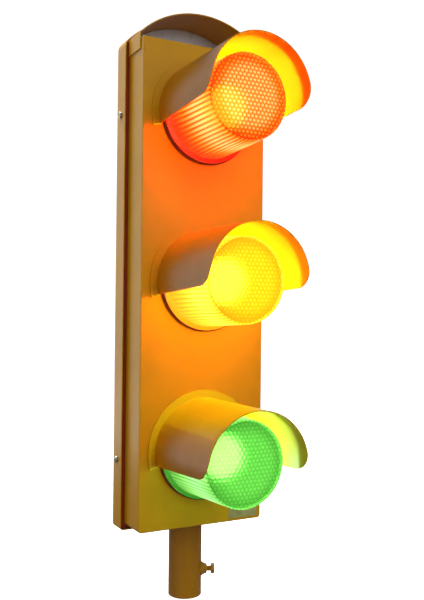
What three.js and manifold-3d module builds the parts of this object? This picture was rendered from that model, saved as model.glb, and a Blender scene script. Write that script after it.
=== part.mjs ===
// Three-aspect traffic signal head on a pole socket tube.
// Millimetres. X to the right as seen from the front, Y to the rear, Z up.
// The origin is the centre of the socket tube's open bottom end.
import * as THREE from 'three';
import { mergeVertices } from 'three/addons/utils/BufferGeometryUtils.js';
import Module from 'manifold-3d';

const wasm = await Module();
wasm.setup();

// ---------- driving dimensions ----------
const GAP = 0.3; // left between pieces that touch
const SHEET = 1.5; // housing sheet thickness
const CORNER_RADIUS = 5; // outside radius of the housing's lower corners
const TOP_CORNER_RADIUS = 2; // outside radius of the box's upper corners

const BOX_WIDTH = 194;
const BOX_HEIGHT = 680;
const BOX_DEPTH = 57;
const PANEL_FRONT = -52.5; // Y of the front panel's outer face
const BOX_BOTTOM = 112.5; // height of the box above the tube's end
const BOX_TOP = BOX_BOTTOM + BOX_HEIGHT;
const BOX_REAR = PANEL_FRONT + BOX_DEPTH;
const BOX_SIDE = BOX_WIDTH / 2;
const PANEL_BACK = PANEL_FRONT + SHEET;

const COVER_OVERHANG = 7; // how far the rear cover stands outside the box
const COVER_FRONT = PANEL_FRONT + 49;
const COVER_REAR = PANEL_FRONT + 79.5;
const COVER_SIDE = BOX_SIDE + COVER_OVERHANG;
const COVER_BOTTOM = BOX_BOTTOM - COVER_OVERHANG;

const HOOD_FRONT = PANEL_FRONT + 9;
const HOOD_REAR = PANEL_FRONT + 76;
const HOOD_LEG_REAR = COVER_FRONT + 0.5;
const HOOD_LEG_BOTTOM = BOX_TOP - 16;
const HOOD_SIDE = BOX_SIDE + GAP + SHEET;
const HOOD_SPRING = BOX_TOP + 7.5; // height at which the arch starts
const HOOD_CROWN = BOX_TOP + 49;
const HOOD_SAGITTA = HOOD_CROWN - HOOD_SPRING;
const HOOD_RADIUS = (HOOD_SIDE ** 2 + HOOD_SAGITTA ** 2) / (2 * HOOD_SAGITTA);
const HOOD_CENTRE = HOOD_CROWN - HOOD_RADIUS;
const COVER_ARCH_RADIUS = HOOD_RADIUS + 0.5 + SHEET;
const SHELF_TOP = HOOD_SPRING - 1.6; // the shelf in the rear cover, under the arch's ends
const SHELF_FRONT = HOOD_LEG_REAR + GAP;

const NAMEPLATE_LEFT = 43;
const NAMEPLATE_WIDTH = 47;
const NAMEPLATE_BOTTOM = BOX_BOTTOM + 4.5;
const NAMEPLATE_HEIGHT = 15;
const NAMEPLATE_THICKNESS = 0.8;

const LAMP_PITCH = 236.5;
const LAMP_LOWEST = BOX_BOTTOM + 107.5;
const LAMPS = [
  { name: 'red', z: LAMP_LOWEST + 2 * LAMP_PITCH, colour: 0xe8380c },
  { name: 'amber', z: LAMP_LOWEST + LAMP_PITCH, colour: 0xf7c400 },
  { name: 'green', z: LAMP_LOWEST, colour: 0x2f9a2a },
];
const PANEL_HOLE_RADIUS = 50.4;

const RING_RADIUS = 69.5;
const RING_FRONT = PANEL_FRONT - 8.5;
const RING_BACK = PANEL_FRONT - 1.5;
const RING_LIP = 2;
const RING_CHAMFER = 1;
const GROOVE_RADIUS = 63.4;
const GROOVE_BACK = PANEL_FRONT - 3.5;
const GROOVE_FRONT = RING_FRONT + RING_LIP;
const SPIGOT_RADIUS = 50;
const SPIGOT_BORE = 46.5;
const SPIGOT_REAR = PANEL_FRONT + 8.5;
const LOCK_RING_RADIUS = 58;
const LOCK_RING_NOTCHES = 8;

const LENS_RADIUS = 57.3; // at the face; the wall widens towards the base
const LENS_BASE_RADIUS = 62.3;
const LENS_WALL = 3;
const LENS_FLANGE_RADIUS = 67.8; // the plain flange that covers the lamp base's front
const LENS_FLANGE_BACK = RING_FRONT - GAP;
const LENS_FLANGE_FRONT = PANEL_FRONT - 11.5;
const LENS_FLANGE_CHAMFER = 0.8;
const LENS_BASE = PANEL_FRONT - 4.9;
const LENS_RIM = PANEL_FRONT - 119.6;
const LENS_CROWN = 4; // how far the front face bulges
const LENS_EDGE = 3; // rounding between the side and the face
const LUG_COUNT = 3;
const LUG_RADIUS = 62.6;
const LUG_DEPTH = 1.3;
const LUG_ANGLE = 24;
const LENS_TURN = 35; // degrees from locked to free
const SKIRT_RADIUS = 57.3; // the lens's plain end inside the lamp base
const LIP_BORE = SKIRT_RADIUS + 0.5;
const SLOT_ANGLE = 28;
const STOP_ANGLE = 4; // the stops at both ends of a lug's travel

const VISOR_RADIUS = 73.5;
const VISOR_WALL = 1.2;
const VISOR_LENGTH = 154.7;
const VISOR_BASE_DROP = 18.4; // lower edge below the lamp axis, at the panel
const VISOR_FRONT_DROP = 8; // and at the visor's front
const VISOR_CORNER = 28; // rounding of the front lower corners
const VISOR_FLANGE_RADIUS = 84;
const VISOR_FLANGE_ANGLE = 15.5; // degrees below the lamp axis
const VISOR_SCREW_RADIUS = 79.2;
const VISOR_SCREW_ANGLE = 7;
const VISOR_SCREW = { headRadius: 3.2, headHeight: 2.2, shankRadius: 1.7, shankLength: 3 };

const LAMPHOLDER = { flangeRadius: 23, bodyRadius: 19, boreRadius: 14.2, front: -48, floor: -21 };
const BULB_CAP = { radius: 13.4, rear: -23, front: -50 };
const BULB_GLOBE = { neckRadius: 14.5, waistY: -66, radius: 30, y: -106, glass: 1 };
const LEAD_RADIUS = 1.3;

const TUBE_RADIUS = 24.15;
const TUBE_WALL = 3.2;
const TUBE_TOP = 152;
const TUBE_CAP = 4;
const CABLE_HOLE_RADIUS = 9;
const TUBE_CLEARANCE = 0.6; // round the tube, in the housing's bottom walls
const FLANGE_HALF_WIDTH = 46;
const FLANGE_FRONT = -46;
const FLANGE_REAR = 2;
const FLANGE_THICKNESS = 3;
const TUBE_SCREW_X = [-36, 36];
const TUBE_SCREW_Y = -36;
const TUBE_SCREW = { headRadius: 5.5, headHeight: 3.5, shankRadius: 3, shankLength: 8 };
const TUBE_SCREW_HOLE = 3.4;

const CLAMP_Z = 36.5;
const CLAMP_ANGLE = -26; // degrees round from +X, towards the front
const NUT_ACROSS_FLATS = 13;
const NUT_HEIGHT = 8;
const NUT_COLLAR_RADIUS = 9; // the weld round the nut's foot
const NUT_COLLAR_HEIGHT = 1.2;
const BOLT_RADIUS = 4;
const BOLT_CLEARANCE_RADIUS = 4.35;
const BOLT_HEAD_HEIGHT = 5.3;
const BOLT_NECK = 6; // bare shank between the nut and the head
const PAD_LENGTH = 2.6;

const COVER_SCREW_Y = PANEL_FRONT + 64;
const COVER_SCREW_HEIGHTS = [BOX_BOTTOM + 91, BOX_BOTTOM + 583];
const COVER_SCREW = { headRadius: 4.75, headHeight: 3.3, shankRadius: 2.4, shankLength: 12.5 };
const COVER_SCREW_HOLE = 2.9;
const SCREW_TAB_HOLE = 2.8;
const SCREW_TAB_FRONT = -20;
const SCREW_TAB_REAR = 20;
const SCREW_TAB_HALF_HEIGHT = 12;

const RAIL_HALF_WIDTH = 25;
const RAIL_FRONT = -14;
const RAIL_THICKNESS = 2;
const RAIL_BOTTOM = 158.5;
const RAIL_TOP = 772;
const RAIL_FOOT = 18;

const TERMINAL_Z = LAMP_LOWEST + 1.5 * LAMP_PITCH;
const TERMINAL_REAR = RAIL_FRONT - GAP;
const TERMINAL_WAYS = 4;
const TERMINAL_PITCH = 13;
const TERMINAL_HALF_HEIGHT = (TERMINAL_WAYS * TERMINAL_PITCH) / 2;
const EARTH_Z = 184;
const EARTH_STUD_HEAD = 1.5;

// ---------- materials ----------
const PAINT = { color: 0xd9a300, roughness: 0.45, metalness: 0.1 };
const GALVANISED = { color: 0xa9acb0, roughness: 0.4, metalness: 0.8 };
const STEEL = { color: 0x8f9296, roughness: 0.35, metalness: 0.9 };
const LABEL_METAL = { color: 0xbdb6a2, roughness: 0.5, metalness: 0.5 };
const BROWN_PAINT = { color: 0x8a6410, roughness: 0.5, metalness: 0.1 };
const DARK_RUBBER = { color: 0x2a1512, roughness: 0.8, metalness: 0 };
const DARK_PLASTIC = { color: 0x241d18, roughness: 0.6, metalness: 0 };
const CERAMIC = { color: 0xe8e4da, roughness: 0.4, metalness: 0 };
const BRASS = { color: 0xb5913f, roughness: 0.35, metalness: 0.9 };
const GLASS = { color: 0xfff4dc, roughness: 0.1, metalness: 0, transparent: true, opacity: 0.4 };

// ---------- solid helpers ----------
const radians = THREE.MathUtils.degToRad;

function signedVolume(positions, triangles) {
  const a = new THREE.Vector3();
  const b = new THREE.Vector3();
  const c = new THREE.Vector3();
  let volume = 0;
  for (let i = 0; i < triangles.length; i += 3) {
    a.fromArray(positions, triangles[i] * 3);
    b.fromArray(positions, triangles[i + 1] * 3);
    c.fromArray(positions, triangles[i + 2] * 3);
    volume += a.dot(b.cross(c)) / 6;
  }
  return volume;
}

// Welds a closed geometry, drops its flat triangles and turns it the right way out.
function toSolid(geometry) {
  const bare = new THREE.BufferGeometry();
  bare.setAttribute('position', geometry.getAttribute('position'));
  bare.setIndex(geometry.getIndex());
  const welded = mergeVertices(bare, 1e-4);
  const positions = welded.getAttribute('position').array;
  const corners = welded.getIndex().array;
  const triangles = [];
  for (let i = 0; i < corners.length; i += 3) {
    const [a, b, c] = [corners[i], corners[i + 1], corners[i + 2]];
    if (a !== b && b !== c && c !== a) {
      triangles.push(a, b, c);
    }
  }
  if (signedVolume(positions, triangles) < 0) {
    triangles.reverse();
  }
  return new wasm.Manifold(new wasm.Mesh({
    numProp: 3,
    vertProperties: new Float32Array(positions),
    triVerts: new Uint32Array(triangles),
  }));
}

function box(x0, x1, y0, y1, z0, z1) {
  const geometry = new THREE.BoxGeometry(x1 - x0, y1 - y0, z1 - z0);
  geometry.translate((x0 + x1) / 2, (y0 + y1) / 2, (z0 + z1) / 2);
  return toSolid(geometry);
}

// A box between two distances from the middle plane, on the right for side 1 and the left for side -1.
function mirroredBox(side, near, far, y0, y1, z0, z1) {
  return side > 0 ? box(near, far, y0, y1, z0, z1) : box(-far, -near, y0, y1, z0, z1);
}

// Extrudes an outline drawn in X and Z between two depths.
function extrudeY(shape, y0, y1, curveSegments = 12) {
  const geometry = new THREE.ExtrudeGeometry(shape, { depth: y1 - y0, bevelEnabled: false, curveSegments });
  geometry.rotateX(Math.PI / 2);
  geometry.translate(0, y1, 0);
  return toSolid(geometry);
}

// Extrudes an outline drawn in Y and Z across the part, equally far to both sides.
function extrudeX(shape, halfWidth, curveSegments = 12) {
  const geometry = new THREE.ExtrudeGeometry(
    shape, { depth: 2 * halfWidth, bevelEnabled: false, curveSegments });
  geometry.rotateX(Math.PI / 2);
  geometry.rotateZ(Math.PI / 2);
  geometry.translate(-halfWidth, 0, 0);
  return toSolid(geometry);
}

// Turns a closed profile of [radius, y] points about a lamp's axis.
function revolveY(profile, centreZ, segments = 24) {
  const points = [...profile, profile[0]].map(([r, y]) => new THREE.Vector2(r, y));
  const geometry = new THREE.LatheGeometry(points, segments);
  geometry.translate(0, 0, centreZ);
  return toSolid(geometry);
}

// A straight round or six-sided bar between two points.
function bar(radius, start, end, segments = 24, spin = 0) {
  const from = new THREE.Vector3(...start);
  const along = new THREE.Vector3(...end).sub(from);
  const geometry = new THREE.CylinderGeometry(radius, radius, along.length(), segments);
  geometry.rotateY(spin);
  geometry.translate(0, along.length() / 2, 0);
  const turn = new THREE.Quaternion().setFromUnitVectors(new THREE.Vector3(0, 1, 0), along.normalize());
  geometry.applyQuaternion(turn);
  geometry.translate(...start);
  return toSolid(geometry);
}

// A hexagonal bar with a flat on top, stated by its distance across flats.
function hexBar(acrossFlats, start, end) {
  return bar(acrossFlats / Math.sqrt(3), start, end, 6, Math.PI / 6);
}

// A part of a flat ring round a lamp's axis, with arcSteps chords in each arc.
function ringSector(inner, outer, fromDegrees, toDegrees, y0, y1, centreZ, arcSteps = 2) {
  const shape = new THREE.Shape();
  shape.absarc(0, centreZ, outer, radians(fromDegrees), radians(toDegrees), false);
  shape.absarc(0, centreZ, inner, radians(toDegrees), radians(fromDegrees), true);
  return extrudeY(shape, y0, y1, arcSteps);
}

function roundedRectangle(x0, x1, z0, z1, radius, topRadius = radius) {
  const shape = new THREE.Shape();
  shape.absarc(x1 - radius, z0 + radius, radius, -Math.PI / 2, 0, false);
  shape.absarc(x1 - topRadius, z1 - topRadius, topRadius, 0, Math.PI / 2, false);
  shape.absarc(x0 + topRadius, z1 - topRadius, topRadius, Math.PI / 2, Math.PI, false);
  shape.absarc(x0 + radius, z0 + radius, radius, Math.PI, Math.PI * 1.5, false);
  return shape;
}

// A pan-head screw with a plain shank. Its head stands on the seat and points along direction.
function panHeadScrew({ headRadius, headHeight, shankRadius, shankLength }, direction, seat) {
  const profile = [
    [0, -shankLength], [shankRadius, -shankLength], [shankRadius, 0], [headRadius, 0],
    [headRadius, headHeight * 0.45], [headRadius * 0.8, headHeight * 0.85], [0, headHeight],
  ];
  const points = [...profile, profile[0]].map(([r, y]) => new THREE.Vector2(r, y));
  const geometry = new THREE.LatheGeometry(points, 8);
  geometry.applyQuaternion(new THREE.Quaternion().setFromUnitVectors(
    new THREE.Vector3(0, 1, 0), new THREE.Vector3(...direction)));
  geometry.translate(...seat);
  return toSolid(geometry);
}

// ---------- the assembly ----------
const group = new THREE.Group();
group.name = 'traffic_signal_head';

function addNode(name, solid, finish) {
  const source = solid.getMesh();
  const geometry = new THREE.BufferGeometry();
  geometry.setAttribute('position', new THREE.BufferAttribute(new Float32Array(source.vertProperties), 3));
  geometry.setIndex(new THREE.BufferAttribute(new Uint32Array(source.triVerts), 1));
  geometry.computeVertexNormals();
  const mesh = new THREE.Mesh(geometry, new THREE.MeshStandardMaterial(finish));
  mesh.name = name;
  group.add(mesh);
}

// ---------- housing ----------

// The folded front box: panel, four walls, lamp holes, tube notch and screw tabs.
function frontCover() {
  const outline = roundedRectangle(
    -BOX_SIDE, BOX_SIDE, BOX_BOTTOM, BOX_TOP, CORNER_RADIUS, TOP_CORNER_RADIUS);
  const inside = roundedRectangle(-BOX_SIDE + SHEET, BOX_SIDE - SHEET, BOX_BOTTOM + SHEET, BOX_TOP - SHEET,
    CORNER_RADIUS - SHEET, TOP_CORNER_RADIUS - SHEET);
  let cover = extrudeY(outline, PANEL_FRONT, BOX_REAR, 4);
  cover = cover.subtract(extrudeY(inside, PANEL_BACK, BOX_REAR + 1, 4));
  for (const lamp of LAMPS) {
    const hole = bar(PANEL_HOLE_RADIUS, [0, PANEL_FRONT - 1, lamp.z], [0, PANEL_BACK + 1, lamp.z], 30);
    cover = cover.subtract(hole);
    for (const side of [-1, 1]) {
      const [x, z] = visorScrewCentre(side, lamp.z);
      cover = cover.subtract(
        bar(VISOR_SCREW.shankRadius + GAP, [x, PANEL_FRONT - 1, z], [x, PANEL_BACK + 1, z], 8));
    }
  }
  cover = cover.subtract(tubeNotch(BOX_BOTTOM - 1, BOX_BOTTOM + SHEET + 1));
  for (const x of TUBE_SCREW_X) {
    cover = cover.subtract(
      bar(TUBE_SCREW_HOLE, [x, TUBE_SCREW_Y, BOX_BOTTOM - 1], [x, TUBE_SCREW_Y, BOX_BOTTOM + 4], 12));
  }
  for (const side of [-1, 1]) {
    for (const z of COVER_SCREW_HEIGHTS) {
      cover = cover.add(screwTab(side, z));
    }
  }
  return cover;
}

// A tab welded inside a side wall, which stands out behind the box and takes a cover screw.
function screwTab(side, z) {
  const [z0, z1] = [z - SCREW_TAB_HALF_HEIGHT, z + SCREW_TAB_HALF_HEIGHT];
  const inner = BOX_SIDE - 2 * SHEET;
  const wallInside = BOX_SIDE - SHEET;
  const welded = mirroredBox(side, inner, BOX_SIDE - SHEET / 2, SCREW_TAB_FRONT, BOX_REAR, z0, z1);
  const standing = mirroredBox(side, inner, wallInside, SCREW_TAB_FRONT, SCREW_TAB_REAR, z0, z1);
  const hole = bar(SCREW_TAB_HOLE,
    [side * (inner - 1), COVER_SCREW_Y, z], [side * (wallInside + 1), COVER_SCREW_Y, z], 12);
  return welded.add(standing).subtract(hole);
}

// The space that the socket tube takes in the housing's two bottom walls.
function tubeNotch(z0, z1) {
  const radius = TUBE_RADIUS + TUBE_CLEARANCE;
  const round = bar(radius, [0, 0, z0], [0, 0, z1], 32);
  return round.add(box(-radius, radius, 0, BOX_REAR + 1, z0, z1));
}

function archedOutline(side, bottom, archRadius, cornerRadius) {
  const springAngle = Math.acos(side / archRadius);
  const shape = new THREE.Shape();
  shape.absarc(side - cornerRadius, bottom + cornerRadius, cornerRadius, -Math.PI / 2, 0, false);
  shape.absarc(0, HOOD_CENTRE, archRadius, springAngle, Math.PI - springAngle, false);
  shape.absarc(cornerRadius - side, bottom + cornerRadius, cornerRadius, Math.PI, Math.PI * 1.5, false);
  return shape;
}

// The rear cover: a shallow tray with an arched top and a shelf over the box.
function rearCover() {
  const outline = archedOutline(COVER_SIDE, COVER_BOTTOM, COVER_ARCH_RADIUS, CORNER_RADIUS);
  const inside = archedOutline(
    COVER_SIDE - SHEET, COVER_BOTTOM + SHEET, COVER_ARCH_RADIUS - SHEET, CORNER_RADIUS - SHEET);
  const hollow = extrudeY(inside, COVER_FRONT - 1, COVER_REAR - SHEET, 16);
  let cover = extrudeY(outline, COVER_FRONT, COVER_REAR, 16).subtract(hollow);
  const shelf = box(
    -COVER_SIDE, COVER_SIDE, SHELF_FRONT, COVER_REAR - SHEET / 2, SHELF_TOP - SHEET, SHELF_TOP);
  cover = cover.add(shelf.intersect(extrudeY(outline, COVER_FRONT, COVER_REAR, 16)));
  cover = cover.subtract(
    bar(TUBE_RADIUS + TUBE_CLEARANCE, [0, 0, COVER_BOTTOM - 1], [0, 0, COVER_BOTTOM + 4], 32));
  for (const side of [-1, 1]) {
    for (const z of COVER_SCREW_HEIGHTS) {
      cover = cover.subtract(bar(COVER_SCREW_HOLE,
        [side * (COVER_SIDE - 4), COVER_SCREW_Y, z], [side * (COVER_SIDE + 2), COVER_SCREW_Y, z], 12));
    }
  }
  return cover;
}

// The rubber strip that fills the gap between the box and the rear cover.
function coverSeal() {
  const reach = COVER_OVERHANG - SHEET - GAP;
  const outer = roundedRectangle(
    -BOX_SIDE - reach, BOX_SIDE + reach, BOX_BOTTOM - reach, SHELF_TOP - SHEET - GAP, CORNER_RADIUS);
  const inner = roundedRectangle(-BOX_SIDE - GAP, BOX_SIDE + GAP, BOX_BOTTOM - GAP, BOX_TOP + GAP,
    CORNER_RADIUS, TOP_CORNER_RADIUS);
  let seal = extrudeY(outer, COVER_FRONT + 1, BOX_REAR - 1, 4);
  seal = seal.subtract(extrudeY(inner, COVER_FRONT, BOX_REAR, 4));
  return seal.subtract(tubeNotch(COVER_BOTTOM, BOX_BOTTOM));
}

function archRing(outer, inner, y0, y1) {
  const springAngle = Math.acos(HOOD_SIDE / HOOD_RADIUS);
  const spring = THREE.MathUtils.radToDeg(springAngle);
  return ringSector(inner, outer, spring, 180 - spring, y0, y1, HOOD_CENTRE, 24);
}

// The arched strip over the top, with a leg down each side of the box.
function topHood() {
  let hood = archRing(HOOD_RADIUS, HOOD_RADIUS - SHEET, HOOD_FRONT, HOOD_REAR);
  for (const side of [-1, 1]) {
    hood = hood.add(mirroredBox(side, HOOD_SIDE - SHEET, HOOD_SIDE,
      HOOD_FRONT, HOOD_LEG_REAR, HOOD_LEG_BOTTOM, HOOD_SPRING));
  }
  return hood;
}

// The bare plate that closes the arch at the rear.
function hoodBackPlate() {
  const disc = bar(HOOD_RADIUS - SHEET - GAP,
    [0, HOOD_REAR - 1.5, HOOD_CENTRE], [0, HOOD_REAR - GAP, HOOD_CENTRE], 72);
  return disc.intersect(
    box(-HOOD_SIDE, HOOD_SIDE, HOOD_FRONT, COVER_REAR, SHELF_TOP + GAP, HOOD_CROWN));
}

function nameplate() {
  const shape = roundedRectangle(NAMEPLATE_LEFT, NAMEPLATE_LEFT + NAMEPLATE_WIDTH,
    NAMEPLATE_BOTTOM, NAMEPLATE_BOTTOM + NAMEPLATE_HEIGHT, 1.5);
  return extrudeY(shape, PANEL_FRONT - GAP - NAMEPLATE_THICKNESS, PANEL_FRONT - GAP, 3);
}

// ---------- pole socket ----------
const TUBE_BORE = TUBE_RADIUS - TUBE_WALL;
const FLANGE_BOTTOM = BOX_BOTTOM + SHEET + GAP;
const FLANGE_TOP = FLANGE_BOTTOM + FLANGE_THICKNESS;
const clampDirection = [Math.cos(radians(CLAMP_ANGLE)), Math.sin(radians(CLAMP_ANGLE)), 0];

// A point on the clamp bolt's axis, at a distance from the tube's axis.
function onClampAxis(distance) {
  return [clampDirection[0] * distance, clampDirection[1] * distance, CLAMP_Z];
}

// The socket tube with its welded flange, end cap and cable hole.
function socketTube() {
  let tube = bar(TUBE_RADIUS, [0, 0, 0], [0, 0, TUBE_TOP], 36);
  tube = tube.add(
    box(-FLANGE_HALF_WIDTH, FLANGE_HALF_WIDTH, FLANGE_FRONT, FLANGE_REAR, FLANGE_BOTTOM, FLANGE_TOP));
  tube = tube.subtract(bar(TUBE_BORE, [0, 0, -1], [0, 0, TUBE_TOP - TUBE_CAP], 36));
  tube = tube.subtract(bar(CABLE_HOLE_RADIUS, [0, 0, TUBE_TOP - 8], [0, 0, TUBE_TOP + 1], 24));
  for (const x of TUBE_SCREW_X) {
    tube = tube.subtract(
      bar(TUBE_SCREW_HOLE, [x, TUBE_SCREW_Y, FLANGE_BOTTOM - 1], [x, TUBE_SCREW_Y, FLANGE_TOP + 1], 12));
  }
  return tube.subtract(
    bar(BOLT_CLEARANCE_RADIUS, onClampAxis(TUBE_BORE - 5), onClampAxis(TUBE_RADIUS + 5), 20));
}

// The nut on the tube's side, with its weld collar, both shaped to the tube's round.
function clampNut() {
  const nearFace = TUBE_RADIUS + GAP;
  const start = onClampAxis(nearFace - 3);
  let nut = hexBar(NUT_ACROSS_FLATS, start, onClampAxis(TUBE_RADIUS + NUT_HEIGHT));
  nut = nut.add(bar(NUT_COLLAR_RADIUS, start, onClampAxis(nearFace + NUT_COLLAR_HEIGHT), 24));
  nut = nut.subtract(bar(nearFace, [0, 0, 0], [0, 0, 2 * CLAMP_Z], 96));
  return nut.subtract(
    bar(BOLT_CLEARANCE_RADIUS, onClampAxis(TUBE_BORE - 5), onClampAxis(nearFace + 2 * NUT_HEIGHT), 20));
}

// The hexagon-head clamp bolt, which ends just short of its pressure pad.
function clampBolt() {
  const headStart = TUBE_RADIUS + NUT_HEIGHT + BOLT_NECK;
  const shank = bar(BOLT_RADIUS, onClampAxis(TUBE_BORE + PAD_LENGTH + GAP), onClampAxis(headStart + 1), 20);
  const headEnd = headStart + BOLT_HEAD_HEIGHT;
  return shank.add(hexBar(NUT_ACROSS_FLATS, onClampAxis(headStart), onClampAxis(headEnd)));
}

function clampPad() {
  return bar(BOLT_RADIUS - 0.1, onClampAxis(TUBE_BORE), onClampAxis(TUBE_BORE + PAD_LENGTH), 20);
}

// The rubber bush in the end cap's cable hole, with a lip on both sides.
function cableGrommet() {
  const neck = CABLE_HOLE_RADIUS - GAP;
  const wall = 2.5;
  const lip = 2;
  const lower = TUBE_TOP - TUBE_CAP - GAP;
  const upper = TUBE_TOP + GAP;
  return revolveZ([
    [neck - wall, lower - lip], [neck + wall, lower - lip], [neck + wall, lower], [neck, lower],
    [neck, upper], [neck + wall, upper], [neck + wall, upper + lip], [neck - wall, upper + lip],
  ]);
}

function revolveZ(profile) {
  const points = [...profile, profile[0]].map(([r, y]) => new THREE.Vector2(r, y));
  const geometry = new THREE.LatheGeometry(points, 16);
  geometry.rotateX(Math.PI / 2);
  return toSolid(geometry);
}

// ---------- inside the box ----------

// The welded-in rail: a web behind the lamps, folded forward to the panel at both ends.
function mountingRail() {
  const front = PANEL_BACK + GAP;
  const rear = RAIL_FRONT + RAIL_THICKNESS;
  const footRear = front + RAIL_THICKNESS;
  const strips = [
    [RAIL_FRONT, rear, RAIL_BOTTOM, RAIL_TOP],
    [front, rear, RAIL_BOTTOM, RAIL_BOTTOM + RAIL_THICKNESS],
    [front, rear, RAIL_TOP - RAIL_THICKNESS, RAIL_TOP],
    [front, footRear, RAIL_BOTTOM - RAIL_FOOT, RAIL_BOTTOM + 1],
    [front, footRear, RAIL_TOP - 1, RAIL_TOP + RAIL_FOOT],
  ].map((limits) => box(-RAIL_HALF_WIDTH, RAIL_HALF_WIDTH, ...limits));
  return strips.reduce((rail, strip) => rail.add(strip));
}

function terminalWayZ(way) {
  return TERMINAL_Z + TERMINAL_HALF_HEIGHT - (way + 0.5) * TERMINAL_PITCH;
}

// The stepped terminal block: a wide foot and a ridge with one screw well for each way.
function terminalBlock() {
  const [z0, z1] = [TERMINAL_Z - TERMINAL_HALF_HEIGHT, TERMINAL_Z + TERMINAL_HALF_HEIGHT];
  const foot = box(-22, 22, TERMINAL_REAR - 9, TERMINAL_REAR, z0, z1);
  const ridgeFront = TERMINAL_REAR - 17;
  let block = foot.add(box(-14, 14, ridgeFront, TERMINAL_REAR - 8, z0, z1));
  for (let way = 0; way < TERMINAL_WAYS; way += 1) {
    const z = terminalWayZ(way);
    block = block.subtract(bar(3.5, [0, ridgeFront - 1, z], [0, ridgeFront + 5, z], 12));
  }
  return block;
}

// The M6 earth stud: a round foot against the rail and a shank to the rear.
function earthStud(z) {
  const start = RAIL_FRONT + RAIL_THICKNESS + GAP;
  const foot = bar(6, [0, start, z], [0, start + EARTH_STUD_HEAD, z], 20);
  return foot.add(bar(2.9, [0, start + 1, z], [0, 10, z], 20));
}

function earthNut(z) {
  const start = RAIL_FRONT + RAIL_THICKNESS + EARTH_STUD_HEAD + 2 * GAP;
  const hole = bar(3.25, [0, start - 1, z], [0, start + 6, z], 20);
  return hexBar(10, [0, start, z], [0, start + 5, z]).subtract(hole);
}

// ---------- one lamp ----------
function visorScrewCentre(side, lampZ) {
  const angle = radians(VISOR_SCREW_ANGLE);
  return [side * VISOR_SCREW_RADIUS * Math.cos(angle), lampZ - VISOR_SCREW_RADIUS * Math.sin(angle)];
}

// The visor seen from the side: its lower edge rises towards the front, with a rounded corner.
function visorSideOutline(lampZ) {
  const base = PANEL_FRONT - GAP;
  const front = PANEL_FRONT - VISOR_LENGTH;
  const slope = Math.atan2(VISOR_BASE_DROP - VISOR_FRONT_DROP, base - front);
  const cornerY = front + VISOR_CORNER;
  const edgeZ = lampZ - VISOR_FRONT_DROP - (cornerY - front) * Math.tan(slope);
  const cornerZ = edgeZ + VISOR_CORNER / Math.cos(slope);
  const top = lampZ + VISOR_RADIUS + 1;
  const shape = new THREE.Shape();
  shape.moveTo(front, top);
  shape.absarc(cornerY, cornerZ, VISOR_CORNER, Math.PI, Math.PI * 1.5 - slope, false);
  shape.lineTo(base, lampZ - VISOR_BASE_DROP);
  shape.lineTo(base, top);
  return shape;
}

// The half-round visor with its flange against the panel.
function visor(lampZ) {
  const base = PANEL_FRONT - GAP;
  const lowest = VISOR_FLANGE_ANGLE + 5;
  const tube = ringSector(VISOR_RADIUS - VISOR_WALL, VISOR_RADIUS, -lowest, 180 + lowest,
    PANEL_FRONT - VISOR_LENGTH, base, lampZ, 36);
  const flange = ringSector(VISOR_RADIUS - VISOR_WALL / 2, VISOR_FLANGE_RADIUS,
    -VISOR_FLANGE_ANGLE, 180 + VISOR_FLANGE_ANGLE, base - VISOR_WALL, base, lampZ, 24);
  let result = tube.intersect(extrudeX(visorSideOutline(lampZ), VISOR_RADIUS + 1)).add(flange);
  for (const side of [-1, 1]) {
    const [x, z] = visorScrewCentre(side, lampZ);
    result = result.subtract(bar(VISOR_SCREW.shankRadius + GAP, [x, base - 3, z], [x, base + 1, z], 8));
  }
  return result;
}

// A screw from inside the box, through the panel and into the visor's flange.
function visorScrew(side, lampZ) {
  const [x, z] = visorScrewCentre(side, lampZ);
  return panHeadScrew(VISOR_SCREW, [0, 1, 0], [x, PANEL_BACK + GAP, z]);
}

// The round lamp base: a bayonet groove in front, a spigot through the panel behind.
function baseRing(lampZ) {
  let ring = revolveY([
    [SPIGOT_BORE, SPIGOT_REAR], [SPIGOT_RADIUS, SPIGOT_REAR], [SPIGOT_RADIUS, RING_BACK],
    [RING_RADIUS, RING_BACK], [RING_RADIUS, RING_FRONT + RING_CHAMFER],
    [RING_RADIUS - RING_CHAMFER, RING_FRONT],
    [LIP_BORE, RING_FRONT], [LIP_BORE, GROOVE_FRONT], [GROOVE_RADIUS, GROOVE_FRONT],
    [GROOVE_RADIUS, GROOVE_BACK], [SPIGOT_BORE, GROOVE_BACK],
  ], lampZ, 30);
  for (let lug = 0; lug < LUG_COUNT; lug += 1) {
    const centre = 90 + (lug * 360) / LUG_COUNT;
    const slot = centre + LENS_TURN;
    ring = ring.subtract(ringSector(LIP_BORE - 2, GROOVE_RADIUS,
      slot - SLOT_ANGLE / 2, slot + SLOT_ANGLE / 2, RING_FRONT - 1, GROOVE_FRONT + 0.1, lampZ));
    const stops = [centre - LUG_ANGLE / 2 - STOP_ANGLE - 1, slot + LUG_ANGLE / 2 + 1];
    for (const start of stops) {
      ring = ring.add(ringSector(LUG_RADIUS - 3, GROOVE_RADIUS + 0.5, start, start + STOP_ANGLE,
        LENS_BASE - 0.2, GROOVE_FRONT - 0.1, lampZ));
    }
  }
  return ring;
}

// The flat rubber ring between the lamp base and the panel.
function panelGasket(lampZ) {
  const [front, back] = [RING_BACK + GAP, PANEL_FRONT - GAP];
  return revolveY([
    [SPIGOT_RADIUS + 0.5, front], [RING_RADIUS - 0.5, front],
    [RING_RADIUS - 0.5, back], [SPIGOT_RADIUS + 0.5, back],
  ], lampZ, 30);
}

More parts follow.
